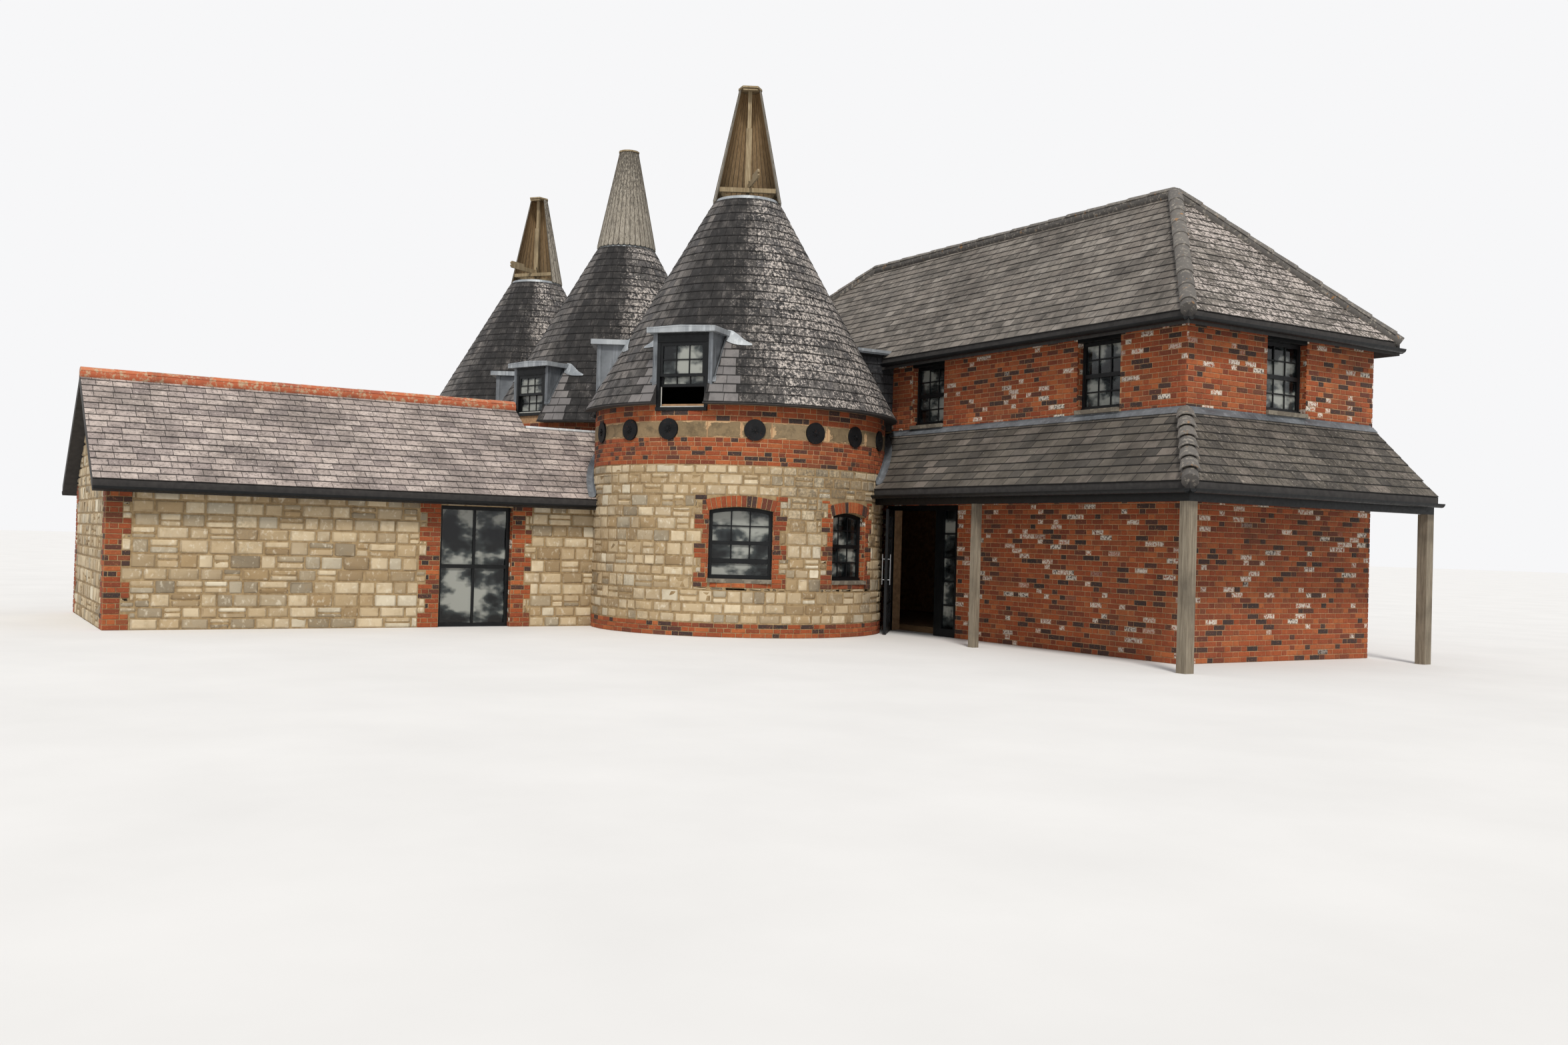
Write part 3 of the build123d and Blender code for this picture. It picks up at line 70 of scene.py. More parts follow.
bpy.ops.object.camera_add(location=EYE)
camera = bpy.context.active_object
camera.name = "camera"
camera.matrix_world = Matrix((
    (right.x, upward.x, -ahead.x, EYE.x),
    (right.y, upward.y, -ahead.y, EYE.y),
    (right.z, upward.z, -ahead.z, EYE.z),
    (0, 0, 0, 1),
))
camera.data.sensor_width = SENSOR
camera.data.lens = FOCAL_PIXELS / PICTURE_WIDTH * SENSOR
camera.data.clip_end = FARTHEST
bpy.context.scene.camera = camera
bpy.context.scene.view_settings.view_transform = "Standard"
print("lens", round(camera.data.lens, 2), "mm")

# %% [markdown]
# Colours are written as the 0 to 255 values of a paint chart, and turned into the linear
# values that shaders work with. One small function adds a shader node and wires its
# inputs, so that each finish below can be read from top to bottom. It adds to whatever
# material was begun last.

# %% Helpers for colours and shader nodes
def chart(red, green, blue):
    """Linear colour from the 0 to 255 values of a paint chart."""
    shares = [value / 255 for value in (red, green, blue)]
    return (*[s / 12.92 if s < 0.04 else ((s + 0.055) / 1.055) ** 2.4 for s in shares], 1.0)


def shade(tone, strength):
    """Darker or paler version of a chart colour."""
    return chart(*[min(255, strength * value) for value in tone])


current = {}


def work_on(owner):
    """Let the node helpers below add to this material or world."""
    current["tree"] = owner.node_tree


def new_finish(name, roughness, metallic=0.0, shine=0.5):
    """A material whose shader has its plain values set."""
    finish = bpy.data.materials.new(name)
    finish.use_nodes = True
    shader = finish.node_tree.nodes["Principled BSDF"]
    shader.inputs["Roughness"].default_value = roughness
    shader.inputs["Metallic"].default_value = metallic
    shader.inputs["Specular IOR Level"].default_value = shine
    work_on(finish)
    return finish


def node(kind, inputs=None, **settings):
    """Add a shader node: an input is linked when it is given a socket, else set."""
    made = current["tree"].nodes.new("ShaderNode" + kind)
    for name, value in settings.items():
        setattr(made, name, value)
    for name, value in (inputs or {}).items():
        if isinstance(value, bpy.types.NodeSocket):
            current["tree"].links.new(value, made.inputs[name])
        else:
            made.inputs[name].default_value = value
    return made


def at(stretch=(1, 1, 1)):
    """Object coordinates in metres, stretched along the axes."""
    place = node("TexCoord").outputs["Object"]
    return node("Mapping", {"Vector": place, "Scale": stretch}).outputs["Vector"]


def noise(vector, scale, detail=4.0, rough=0.55):
    """Cloudy pattern with about scale blotches to the metre."""
    return node("TexNoise", {
        "Vector": vector, "Scale": scale, "Detail": detail, "Roughness": rough}).outputs["Fac"]


def between(value, low, high, first=0.0, last=1.0):
    """Turn low to high of a value into first to last, flat beyond them."""
    return node("MapRange", {"Value": value, "From Min": low, "From Max": high,
                             "To Min": first, "To Max": last}).outputs["Result"]


def sums(first, second, operation="ADD"):
    """Add, multiply or otherwise join two numbers."""
    return node("Math", {0: first, 1: second}, operation=operation).outputs["Value"]


def fraction(value):
    """What is left of a number without its whole part."""
    return node("Math", {0: value}, operation="FRACT").outputs["Value"]


def ways(first, second, operation="DOT_PRODUCT", output="Value"):
    """Join two vectors."""
    return node("VectorMath", {0: first, 1: second}, operation=operation).outputs[output]


def ramp(value, stops):
    """Colours along a value: stops are (value, colour) pairs."""
    made = node("ValToRGB", {"Fac": value})
    elements = made.color_ramp.elements
    for spot, _ in stops[2:]:
        elements.new(spot)
    for element, (spot, tint) in zip(elements, sorted(stops, key=lambda stop: stop[0])):
        element.position = spot
        element.color = tint
    return made.outputs["Color"]


def even_ramp(value, tones, first=0.0, last=1.0):
    """Chart colours spread evenly from a first to a last value."""
    step = (last - first) / (len(tones) - 1)
    return ramp(value, [(first + step * spot, chart(*rgb)) for spot, rgb in enumerate(tones)])


def over(share, under, top):
    """Lay one colour over another by a share from 0 to 1."""
    return node("Mix", {0: share, 6: under, 7: top}, data_type="RGBA").outputs[2]


def stain(under, pattern, low, high, share, top):
    """Lay a colour over another where a pattern rises from low to high, up to a share."""
    return over(between(pattern, low, high, 0, share), under, top)


print("a mid grey is", round(chart(128, 128, 128)[0], 3), "in linear light")

# %% Helpers for what a brick or slate carries
def tone_of():
    """The number from 0 to 1 that each stone, brick or slate carries as its own."""
    return node("Attribute", attribute_name="tone").outputs["Fac"]


def share_within():
    """Shares from 0 to 1 across and up the stone, brick or slate that a point belongs to."""
    within = node("Attribute", attribute_name="within").outputs["Vector"]
    parts = node("SeparateXYZ", {"Vector": within})
    return parts.outputs["X"], parts.outputs["Y"]


def from_middle(share):
    """0 in the middle of a share from 0 to 1, and 1 at both its ends."""
    away = sums(sums(share, 0.5, "SUBTRACT"), 2, "MULTIPLY")
    return node("Math", {0: away}, operation="ABSOLUTE").outputs["Value"]


def near_edge():
    """0 in the middle of a stone, and 1 along its outline."""
    across, up = share_within()
    return sums(from_middle(across), from_middle(up), "MAXIMUM")


def set_surface(finish, tint, relief=None, depth=0.003, roughness=None):
    """Wire colour, relief in metres and a roughness pattern into the shader."""
    tree = finish.node_tree
    shader = tree.nodes["Principled BSDF"]
    tree.links.new(tint, shader.inputs["Base Color"])
    if relief is not None:
        lifted = node("Bump", {"Height": relief, "Distance": depth})
        tree.links.new(lifted.outputs["Normal"], shader.inputs["Normal"])
    if roughness is not None:
        tree.links.new(roughness, shader.inputs["Roughness"])
    return finish


def plain_finish(name, roughness, scale, low, high):
    """A surface with two close colours in soft clouds."""
    finish = new_finish(name, roughness)
    cloud = noise(at(), scale)
    return set_surface(finish, even_ramp(cloud, [low, high], 0.3, 0.7))


# %% [markdown]
# The set is a plain pale floor and soft light. A broad soft sun stands high at the right,
# where the light in the picture comes from, and a pale sky fills the shadows. What the
# camera sees of the sky is white, by Is Camera Ray, without putting more light on the
# house. Glass and metal see the same sky.

# %% Floor
FLOOR_SIZE, FLOOR_DROP = 400.0, 0.001

bpy.ops.mesh.primitive_plane_add(size=FLOOR_SIZE, location=(0, 0, -FLOOR_DROP))
floor = bpy.context.active_object
floor.name = "studio_floor"
floor.data.materials.append(plain_finish("studio_floor", 0.9, 0.6, (226, 224, 221), (232, 230, 227)))
print("floor", FLOOR_SIZE, "m wide")

# %% Sun and sky
SUN_AZIMUTH, SUN_HEIGHT = radians(-28), radians(48)
SUN_STRENGTH, SUN_SPREAD = 2.4, radians(12)
SUN_COLOUR = (1.0, 0.97, 0.92)
SKY_STRENGTH, SKY_COLOUR = 0.62, (0.92, 0.95, 1.0, 1)
BACKDROP_COLOUR = (0.93, 0.93, 0.94, 1)

bpy.ops.object.light_add(type="SUN", location=(10, -10, 15))
sun = bpy.context.active_object
sun.name = "soft_sun"
to_sun = Vector((cos(SUN_AZIMUTH) * cos(SUN_HEIGHT), sin(SUN_AZIMUTH) * cos(SUN_HEIGHT), sin(SUN_HEIGHT)))
sun.rotation_mode = "QUATERNION"
sun.rotation_quaternion = to_sun.to_track_quat("Z", "Y")
sun.data.energy = SUN_STRENGTH
sun.data.angle = SUN_SPREAD
sun.data.color = SUN_COLOUR

world = bpy.data.worlds.new("pale_sky")
bpy.context.scene.world = world
world.use_nodes = True
world.node_tree.nodes.clear()
work_on(world)
rays = node("LightPath").outputs
shining = sums(rays["Is Glossy Ray"], rays["Is Transmission Ray"], "MAXIMUM")
seen = sums(rays["Is Camera Ray"], shining, "MAXIMUM")
sky = node("Background", {"Color": SKY_COLOUR, "Strength": SKY_STRENGTH})
backdrop = node("Background", {"Color": BACKDROP_COLOUR, "Strength": 1.0})
blended = node("MixShader", {0: seen, 1: sky.outputs[0], 2: backdrop.outputs[0]})
node("OutputWorld", {"Surface": blended.outputs[0]})
print("sun from", [round(c, 2) for c in to_sun])

# %% [markdown]
# A wall of this house shows thousands of stones, bricks and slates. Each kind is modelled
# once, by hand, as a small block: a cube is added at its size and its outer edges are
# bevelled, because a sharp edge catches no light. Many copies are then joined into one
# mesh. A copy is not scaled, which would stretch its bevel: its middle is pulled apart
# instead, so that every brick has the same worn edge, whatever its length.

# %% Helpers for edit mode
def only(piece):
    """Select one object alone and make it active."""
    bpy.ops.object.select_all(action="DESELECT")
    piece.select_set(True)
    bpy.context.view_layer.objects.active = piece


def edit(piece, kind="VERT"):
    """Open a piece in edit mode with nothing selected."""
    only(piece)
    bpy.ops.object.mode_set(mode="EDIT")
    bpy.ops.mesh.select_mode(type=kind)
    bpy.ops.mesh.select_all(action="DESELECT")


def pick(piece, test, kind):
    """Select the vertices, edges or faces of the piece being edited that pass a test."""
    shape = bmesh.from_edit_mesh(piece.data)
    parts = {"VERT": shape.verts, "EDGE": shape.edges, "FACE": shape.faces}[kind]
    for part in parts:
        part.select_set(bool(test(part)))
    shape.select_flush_mode()
    bmesh.update_edit_mesh(piece.data)


def done():
    """Back to object mode."""
    bpy.ops.object.mode_set(mode="OBJECT")


def added(name):
    """Name the primitive that was just added, and put its place and turn into its mesh."""
    made = bpy.context.active_object
    made.name = name
    bpy.ops.object.transform_apply(location=True, rotation=True, scale=True)
    return made


def block(name, size, centre=(0, 0, 0), turn=(0, 0, 0)):
    """A box added at its size, place and turn."""
    bpy.ops.object.select_all(action="DESELECT")
    bpy.ops.mesh.primitive_cube_add(size=1, location=centre, rotation=turn, scale=size)
    return added(name)


def reaches(edge, axis, length):
    """True for an edge that is longer than a length along an axis."""
    return abs(edge.verts[0].co[axis] - edge.verts[1].co[axis]) > length


def is_front(edge):
    """An outer edge of a unit's front face, which lies towards -Y."""
    middle = (edge.verts[0].co + edge.verts[1].co) / 2
    ways_out = [face.normal.y for face in edge.link_faces]
    return middle.y < 0 and any(y > -0.5 for y in ways_out) and any(y < -0.5 for y in ways_out)


def bevel_front(unit, width):
    """Round the edges of a unit's outer face."""
    edit(unit, "EDGE")
    pick(unit, is_front, "EDGE")
    bpy.ops.mesh.bevel(offset=width, segments=1, profile=0.6, affect="EDGES")
    done()


def slit_unit(name, size, bevel):
    """A long unit with five cuts across it, so that it can bend."""
    unit = block(name, size)
    edit(unit, "EDGE")
    pick(unit, lambda edge: reaches(edge, 0, 0.1), "EDGE")
    bpy.ops.mesh.subdivide(number_cuts=5)
    done()
    bevel_front(unit, bevel)
    return unit


# %% One brick, one stone and one slate
BRICK_JOINT = 0.010
BRICK_GAUGE = 0.074
STRETCHER = 0.215
HEADER = 0.1025
STONE_CORNER, STONE_BEVEL, STONE_BELLY = 0.022, 0.012, 0.004

brick = block("brick_unit", (STRETCHER, 0.03, BRICK_GAUGE - BRICK_JOINT))
bevel_front(brick, 0.005)

stone = block("stone_unit", (0.25, 0.07, 0.16))
edit(stone, "EDGE")
pick(stone, lambda edge: reaches(edge, 1, 0.01), "EDGE")
bpy.ops.mesh.bevel(offset=STONE_CORNER, segments=2, profile=0.5, affect="EDGES")
done()
bevel_front(stone, STONE_BEVEL)
edit(stone, "FACE")
pick(stone, lambda face: face.normal.y < -0.9, "FACE")
bpy.ops.mesh.inset(thickness=STONE_BEVEL)
bpy.ops.transform.translate(value=(0, -STONE_BELLY, 0))
done()

slate = block("slate_unit", (0.24, 0.007, 0.23))
ashlar = slit_unit("ashlar_unit", (0.6, 0.07, 0.23), 0.007)
bar = block("bar_unit", (0.02, 0.014, 0.02))
bevel_front(bar, 0.003)
units = [brick, stone, slate, ashlar, bar]
print("faces:", {unit.name: len(unit.data.polygons) for unit in units})

# %% Joining many copies into one piece
rng = np.random.default_rng(7)
NEAR_EDGE = 0.69


def stretched(low, high, own, half):
    """Corners of a unit moved apart to reach from low to high, each bevel as wide as before."""
    middle, reach = (low + high) / 2, (high - low) / 2
    kept = np.sign(own) * (reach - (half - np.abs(own)))
    return middle + np.where(np.abs(own) > NEAR_EDGE * half, kept, own / half * reach)


def copies_mesh(name, unit, points):
    """Mesh of many copies of a unit, from the points of one copy after another."""
    each = len(unit.data.vertices)
    count = len(points) // each
    faces = [np.array(face.vertices) for face in unit.data.polygons]
    sizes = np.tile([len(face) for face in faces], count)
    loops = (np.concatenate(faces)[None, :] + (np.arange(count) * each)[:, None]).ravel()
    starts = np.concatenate([[0], np.cumsum(sizes)[:-1]])
    mesh = bpy.data.meshes.new(name)
    mesh.vertices.add(len(points))
    mesh.vertices.foreach_set("co", points.astype(np.float32).ravel())
    mesh.loops.add(len(loops))
    mesh.loops.foreach_set("vertex_index", loops.astype(np.int32))
    mesh.polygons.add(len(sizes))
    mesh.polygons.foreach_set("loop_start", starts.astype(np.int32))
    mesh.update(calc_edges=True)
    return mesh


def mark(mesh, name, kind, field, values):
    """Store values at the points of a mesh, for its finish to read."""
    spots = mesh.attributes.new(name, kind, "POINT")
    spots.data.foreach_set(field, values.astype(np.float32).ravel())


def lay(name, unit, cells, place, tilt=0.0, rough=0.0):
    """Join copies of a unit. A cell is (left, right, low, high, proud, tone).

    Each copy carries its tone, and each point its share across and up the copy.
    """
    left, right, low, high, proud, tone = (column[:, None] for column in np.array(cells, float).T)
    corners = np.array([vertex.co[:] for vertex in unit.data.vertices])
    half = np.abs(corners).max(axis=0)
    along = stretched(left, right, corners[:, 0], half[0])
    up = stretched(low, high, corners[:, 2], half[2])
    share = (up - low) / (high - low)
    out = proud - (corners[:, 1] + half[1]) + tilt * (1 - share)
    out = out + rng.normal(0, 1, out.shape) * rough * (corners[:, 1] < 0)
    mesh = copies_mesh(name, unit, np.stack(place(along, up, out), axis=-1).reshape(-1, 3))
    mark(mesh, "tone", "FLOAT", "value", np.repeat(tone, len(corners)))
    across = (along - left) / (right - left)
    mark(mesh, "within", "FLOAT_VECTOR", "vector", np.stack([across, share, 0 * share], axis=-1))
    piece = bpy.data.objects.new(name, mesh)
    bpy.context.collection.objects.link(piece)
    return piece


def trim(piece, point, outwards):
    """Cut a piece by a plane, drop what lies outwards of it and close the cuts."""
    edit(piece)
    bpy.ops.mesh.select_all(action="SELECT")
    bpy.ops.mesh.bisect(plane_co=point, plane_no=outwards, clear_outer=True, use_fill=True)
    done()
    return piece


def join(name, pieces):
    """Join several pieces into one."""
    only(pieces[0])
    for piece in pieces:
        piece.select_set(True)
    bpy.ops.object.join()
    pieces[0].name = name
    return pieces[0]


# %% [markdown]
# Every finished piece gets its material, and its shading is made sharp where two faces meet
# at more than a set angle. Without that the light would run softly round every slate, as if
# it were a cushion.

# %% Finishing a piece
CREASE = 38.0
dressed = []


def dress(piece, finish, body="building"):
    """Give a finished piece its material and the body that it rides on."""
    piece.data.materials.clear()
    piece.data.materials.append(finish)
    only(piece)
    bpy.ops.object.shade_smooth_by_angle(angle=radians(CREASE))
    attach(piece, body)
    triangles = sum(len(face.vertices) - 2 for face in piece.data.polygons)
    dressed.append(triangles)
    print(f"{piece.name}: {triangles} triangles")
    return piece


def paint(finish, *names):
    """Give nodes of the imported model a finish."""
    for name in names:
        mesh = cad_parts[name].data
        mesh.materials.clear()
        mesh.materials.append(finish)


# %% Surfaces that units are laid on
UPWARDS = (0, 0, 1)


def heading(direction):
    """Level way of length 1 towards a direction in degrees from +X."""
    turn = radians(direction)
    return cos(turn), sin(turn)


def on_cylinder(x, radius):
    """Round wall about an upright axis: along is metres round it from +X."""
    def place(along, up, out):
        turn = along / radius
        return x + (radius + out) * np.cos(turn), (radius + out) * np.sin(turn), up
    return place


def on_plane(origin, along_way, up_way=UPWARDS):
    """Flat wall or roof slope, by its origin and its two directions."""
    start, first, second = Vector(origin), Vector(along_way).normalized(), Vector(up_way).normalized()
    facing = first.cross(second)

    def place(along, up, out):
        return [start[i] + along * first[i] + up * second[i] + out * facing[i] for i in range(3)]
    return place


def looking(direction, x, y):
    """Upright plane through a point that looks towards a direction in degrees."""
    ahead_x, ahead_y = heading(direction)
    return on_plane((x, y, 0), (-ahead_y, ahead_x, 0))


print("half a metre round a kiln of 2 m:", [round(c, 3) for c in on_cylinder(0, 2.0)(0.5, 0, 0)])

# %% [markdown]
# Bricks lie in rows of even height. A row of Flemish bond goes stretcher, header,
# stretcher, header, and each row is shifted by half of that pair. Where a window or a
# patch of stone interrupts the wall, its rectangle is taken out of every brick that
# crosses it, and slivers are dropped, as a bricklayer would cut them away.

# %% Rows of bricks
SLIVER = 0.028
BRICK_PROUD = 0.007


def cut_out(cells, holes):
    """Take rectangles (left, right, low, high) out of cells."""
    for left, right, low, high in holes:
        kept = []
        for cell in cells:
            a, b, c, d = cell[:4]
            if b <= left or a >= right or d <= low or c >= high:
                kept.append(cell)
                continue
            inner_a, inner_b = max(a, left), min(b, right)
            parts = [(a, left, c, d), (right, b, c, d),
                     (inner_a, inner_b, c, low), (inner_a, inner_b, high, d)]
            kept += [(*part, *cell[4:]) for part in parts
                     if part[1] - part[0] > SLIVER and part[3] - part[2] > SLIVER]
        cells = kept
    return cells


def brick_rows(low, high):
    """Number, foot and top of each row of bricks between two heights."""
    count = max(1, round((high - low) / BRICK_GAUGE))
    height = (high - low) / count
    for row in range(count):
        bottom = low + row * height + BRICK_JOINT / 2
        yield row, bottom, bottom + height - BRICK_JOINT


def flemish(left, right, low, high, proud=BRICK_PROUD):
    """Rows of stretchers and headers over a rectangle."""
    cells = []
    pair = STRETCHER + HEADER + 2 * BRICK_JOINT
    for row, bottom, top in brick_rows(low, high):
        spot = left - (pair / 2 if row % 2 else 0) - rng.uniform(0, 0.01)
        header = False
        while spot < right:
            length = HEADER if header else STRETCHER
            first, last = max(spot, left), min(spot + length, right)
            if last - first > SLIVER:
                lift = proud + rng.uniform(-0.002, 0.002)
                cells.append((first, last, bottom, top, lift, rng.random()))
            spot += length + BRICK_JOINT
            header = not header
    return cells


def mixed_bond(left, right, low, high, header_share=0.6):
    """Rows of headers and stretchers in no strict order, as on the round walls."""
    cells = []
    for _, bottom, top in brick_rows(low, high):
        spot = left - rng.uniform(0, HEADER)
        while spot < right:
            length = HEADER if rng.random() < header_share else STRETCHER
            length *= rng.uniform(0.94, 1.06)
            first, last = max(spot, left), min(spot + length, right)
            if last - first > SLIVER:
                lift = BRICK_PROUD + rng.uniform(-0.002, 0.003)
                cells.append((first, last, bottom, top, lift, rng.random()))
            spot += length + BRICK_JOINT
    return cells


print("a metre of Flemish bond has", len(flemish(0, 1, 0, 1)), "bricks")

# %% Courses of stone
STONE_JOINT = 0.012
SHORTEST_STONE = 0.05
SPLIT_SHARE = 0.24


def rubble(left, right, low, high, course=0.2, longest=0.36):
    """Squared rubble: courses of uneven height, here and there two stones deep."""
    cells = []
    bottom = low
    while bottom < high - 0.02:
        height = course * rng.uniform(0.72, 1.15)
        if high - bottom - height < 0.6 * course:
            height = high - bottom
        spot = left - rng.uniform(0, 0.1)
        while spot < right:
            length = rng.uniform(0.42, 1.0) * longest
            first, last = max(spot, left), min(spot + length, right)
            if last - first > SHORTEST_STONE:
                spans = [(bottom + STONE_JOINT / 2, bottom + height - STONE_JOINT / 2)]
                if height > 0.8 * course and rng.random() < SPLIT_SHARE:
                    low_z, high_z = spans[0]
                    split = low_z + (high_z - low_z) * rng.uniform(0.4, 0.6)
                    spans = [(low_z, split - STONE_JOINT / 2), (split + STONE_JOINT / 2, high_z)]
                for span in spans:
                    lift = rng.uniform(0.006, 0.014)
                    cells.append((first, last, *span, lift, rng.random()))
            spot += length + STONE_JOINT
        bottom += height
    return cells


print("rubble courses of 0.2 m, joints", STONE_JOINT, "m")

# %% [markdown]
# Masonry finishes. Each stone or brick carries a number of its own, its tone, and a colour
# ramp turns it into one of the colours that the real wall shows: cream, buff and grey
# ragstone, orange, red and burnt brick. Over that lie blotches a hand wide, fine grain,
# and soot or lichen where the rain brings it.

# %% Ragstone
RAGSTONE_TONES = [
    (0.0, chart(186, 164, 130)), (0.2, chart(216, 198, 166)), (0.36, chart(168, 142, 104)),
    (0.5, chart(206, 186, 152)), (0.64, chart(146, 122, 88)), (0.78, chart(196, 178, 148)),
    (0.88, chart(136, 122, 100)), (1.0, chart(230, 218, 192))]
STONE_LICHEN, STONE_EDGE_DIRT_AND_SHADE = chart(112, 104, 88), chart(108, 88, 62)


def lichen_share(place, grey_spot):
    """How far lichen covers the stone: in patches, and round the grey spot if there is one."""
    share = between(noise(place, 1.1, 2), 0.58, 0.72, 0, 0.35)
    if grey_spot:
        centre, reach = grey_spot
        away = ways(place, centre, "DISTANCE")
        share = sums(share, between(away, 0.3 * reach, reach, 0.8, 0), "MAXIMUM")
    return share


def ragstone_finish(name, grey_spot=None):
    """Squared stone. grey_spot is the centre and the reach of a part that lichen covers."""
    finish = new_finish(name, 0.92)
    place = at()
    tint = ramp(tone_of(), RAGSTONE_TONES)
    blotches = noise(place, 9, 5, 0.6)
    tint = stain(tint, blotches, 0.5, 0.75, 0.4, chart(160, 134, 92))
    pale = noise(at((1.3, 1, 0.8)), 16, 3)
    tint = stain(tint, pale, 0.56, 0.7, 0.5, chart(232, 222, 200))
    lichen = between(noise(place, 24, 6, 0.72), 0.42, 0.62)
    dark = sums(lichen, lichen_share(place, grey_spot), "MULTIPLY")
    tint = over(dark, tint, STONE_LICHEN)
    # each stone is darker along its outline: dirt, and painted shade of the deep joints round it
    tint = over(between(near_edge(), 0.78, 1, 0, 0.65), tint, STONE_EDGE_DIRT_AND_SHADE)
    relief = sums(sums(blotches, noise(place, 130, 5, 0.7)), dark)
    return set_surface(finish, tint, relief, 0.006)


KILN_GREY_SPOT = ((2.42, 0.1, 2.4), 1.3)
ragstone = ragstone_finish("ragstone", KILN_GREY_SPOT)
buff_stone = ragstone_finish("wing_stone")
print("ragstone takes one of", len(RAGSTONE_TONES), "colours or a mixture of two")

# %% Mortar
def mortar_finish(name, low, high, dirt):
    """Lime mortar, sandy and dirty in places."""
    finish = new_finish(name, 0.95)
    place = at()
    tint = even_ramp(noise(place, 14, 6, 0.65), [low, high], 0.35, 0.65)
    spots = noise(place, 3.1, 4)
    tint = stain(tint, spots, 0.55, 0.75, 0.6, chart(*dirt))
    return set_surface(finish, tint, noise(place, 160, 4, 0.7), 0.003)


stone_mortar = mortar_finish("stone_mortar", (134, 110, 76), (170, 146, 108), (92, 78, 56))
brick_mortar = mortar_finish("brick_mortar", (156, 120, 86), (188, 150, 112), (108, 80, 56))
print("mortar:", stone_mortar.name, "and", brick_mortar.name)

# %% Sandstone of the band and the sills
def sandstone_finish(name, tones, joint):
    """Soft stone with a hollowed, stained face. joint is the mortar smeared over its edges."""
    finish = new_finish(name, 0.94)
    place = at()
    tint = even_ramp(tone_of(), tones)
    cloud = noise(place, 6, 6, 0.65)
    tint = stain(tint, cloud, 0.48, 0.66, 0.7, shade(tones[0], 0.66))
    worn = noise(place, 23, 4)
    tint = stain(tint, worn, 0.56, 0.7, 0.5, shade(tones[0], 1.25))
    ragged = sums(near_edge(), between(cloud, 0.3, 0.7, -0.25, 0.25))
    tint = over(between(ragged, 0.94, 1.0), tint, chart(*joint))
    return set_surface(finish, tint, sums(cloud, worn), 0.008)


sandstone = sandstone_finish(
    "sandstone_band", [(122, 104, 76), (138, 116, 86), (108, 92, 68), (148, 128, 98)], (192, 158, 118))
sill_stone = sandstone_finish(
    "sill_stone", [(126, 118, 104), (142, 132, 116), (112, 104, 92), (150, 142, 128)], (104, 96, 84))
print("sandstone:", sandstone.name, "and", sill_stone.name)

# %% Brick
BRICK_TONES = [
    (0.0, chart(132, 58, 28)), (0.16, chart(162, 80, 38)), (0.3, chart(140, 66, 34)),
    (0.44, chart(174, 96, 50)), (0.58, chart(114, 52, 30)), (0.7, chart(152, 74, 38)),
    (0.78, chart(98, 50, 34)), (0.83, chart(66, 46, 40)), (0.93, chart(46, 38, 36)),
    (1.0, chart(166, 86, 44))]
OLD_PAINT = chart(214, 204, 190)


def paint_left(place, share):
    """Where old white paint still clings, on a share of the bricks and in flakes."""
    own = fraction(sums(tone_of(), 37.7, "MULTIPLY"))
    kept = between(own, 1 - share, 1 - share + 0.02)
    flakes = noise(place, 30, 6, 0.75)
    return sums(kept, between(flakes, 0.44, 0.52), "MULTIPLY")


def brick_finish(name, paint_share):
    """Soft red bricks. paint_share is how many of them still have some old white paint."""
    finish = new_finish(name, 0.9)
    place = at()
    tint = ramp(tone_of(), BRICK_TONES)
    cloud = noise(place, 17, 5, 0.65)
    tint = stain(tint, cloud, 0.5, 0.72, 0.5, chart(96, 46, 28))
    ash = noise(at((1, 1, 1.7)), 41, 4)
    tint = stain(tint, ash, 0.6, 0.72, 0.55, chart(206, 142, 98))
    if paint_share:
        tint = over(paint_left(place, paint_share), tint, OLD_PAINT)
    soot = noise(place, 0.9, 3)
    tint = stain(tint, soot, 0.52, 0.75, 0.4, chart(74, 52, 40))
    grain = noise(place, 150, 4, 0.7)
    return set_surface(finish, tint, sums(cloud, grain), 0.0035)


kiln_brick = brick_finish("kiln_brick", 0)
stowage_brick = brick_finish("stowage_brick", 0.09)
print("brick:", kiln_brick.name, "and", stowage_brick.name)

# %% [markdown]
# The round walls, from the ground up: three courses of brick, squared ragstone, six
# courses of brick, a band of long sandstone blocks that carries the iron plates, and four
# more courses up to the eaves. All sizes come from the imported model, and so does the place
# where two kilns meet: the rings are cut there, and at the stowage wall behind them.

# %% Sizes of the kilns
KILN_RADIUS, _, STONE_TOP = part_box("kiln_1_stone_wall")[1]
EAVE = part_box("kiln_1_brick_band")[1].z
EAVE_COURSE_REACH = 0.025
CONE_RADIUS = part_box("kiln_1_cone_roof")[1].x - EAVE_COURSE_REACH
CONE_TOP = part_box("kiln_1_cone_roof")[1].z
curb_low, curb_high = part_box("kiln_curbs")
KILN_SPACING = (curb_high.x - curb_low.x) / 2 - curb_high.x
KILN_X = [-KILN_SPACING * count for count in range(3)]
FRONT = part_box("stowage_front_wall_upper")[0].y
FAR_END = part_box("stowage_front_wall_upper")[0].x
PLINTH_TOP = 0.21
BAND_LOW, BAND_HIGH = EAVE - 0.520, EAVE - 0.270
ROUND = 2 * pi * KILN_RADIUS

# dormer: kiln, direction in degrees, width, foot of the sill, underside of the roof
DORMERS = [
    (1, -52.5, 1.01, EAVE - 0.115, EAVE + 1.087), (1, -119.5, 1.01, EAVE - 0.115, EAVE + 1.100),
    (2, -69.3, 0.91, EAVE + 0.120, EAVE + 1.020), (2, -121.0, 0.91, EAVE + 0.120, EAVE + 1.015)]
DORMER_POST = 0.072
print("kilns at x", [round(x, 2) for x in KILN_X], "radius", round(KILN_RADIUS, 3))

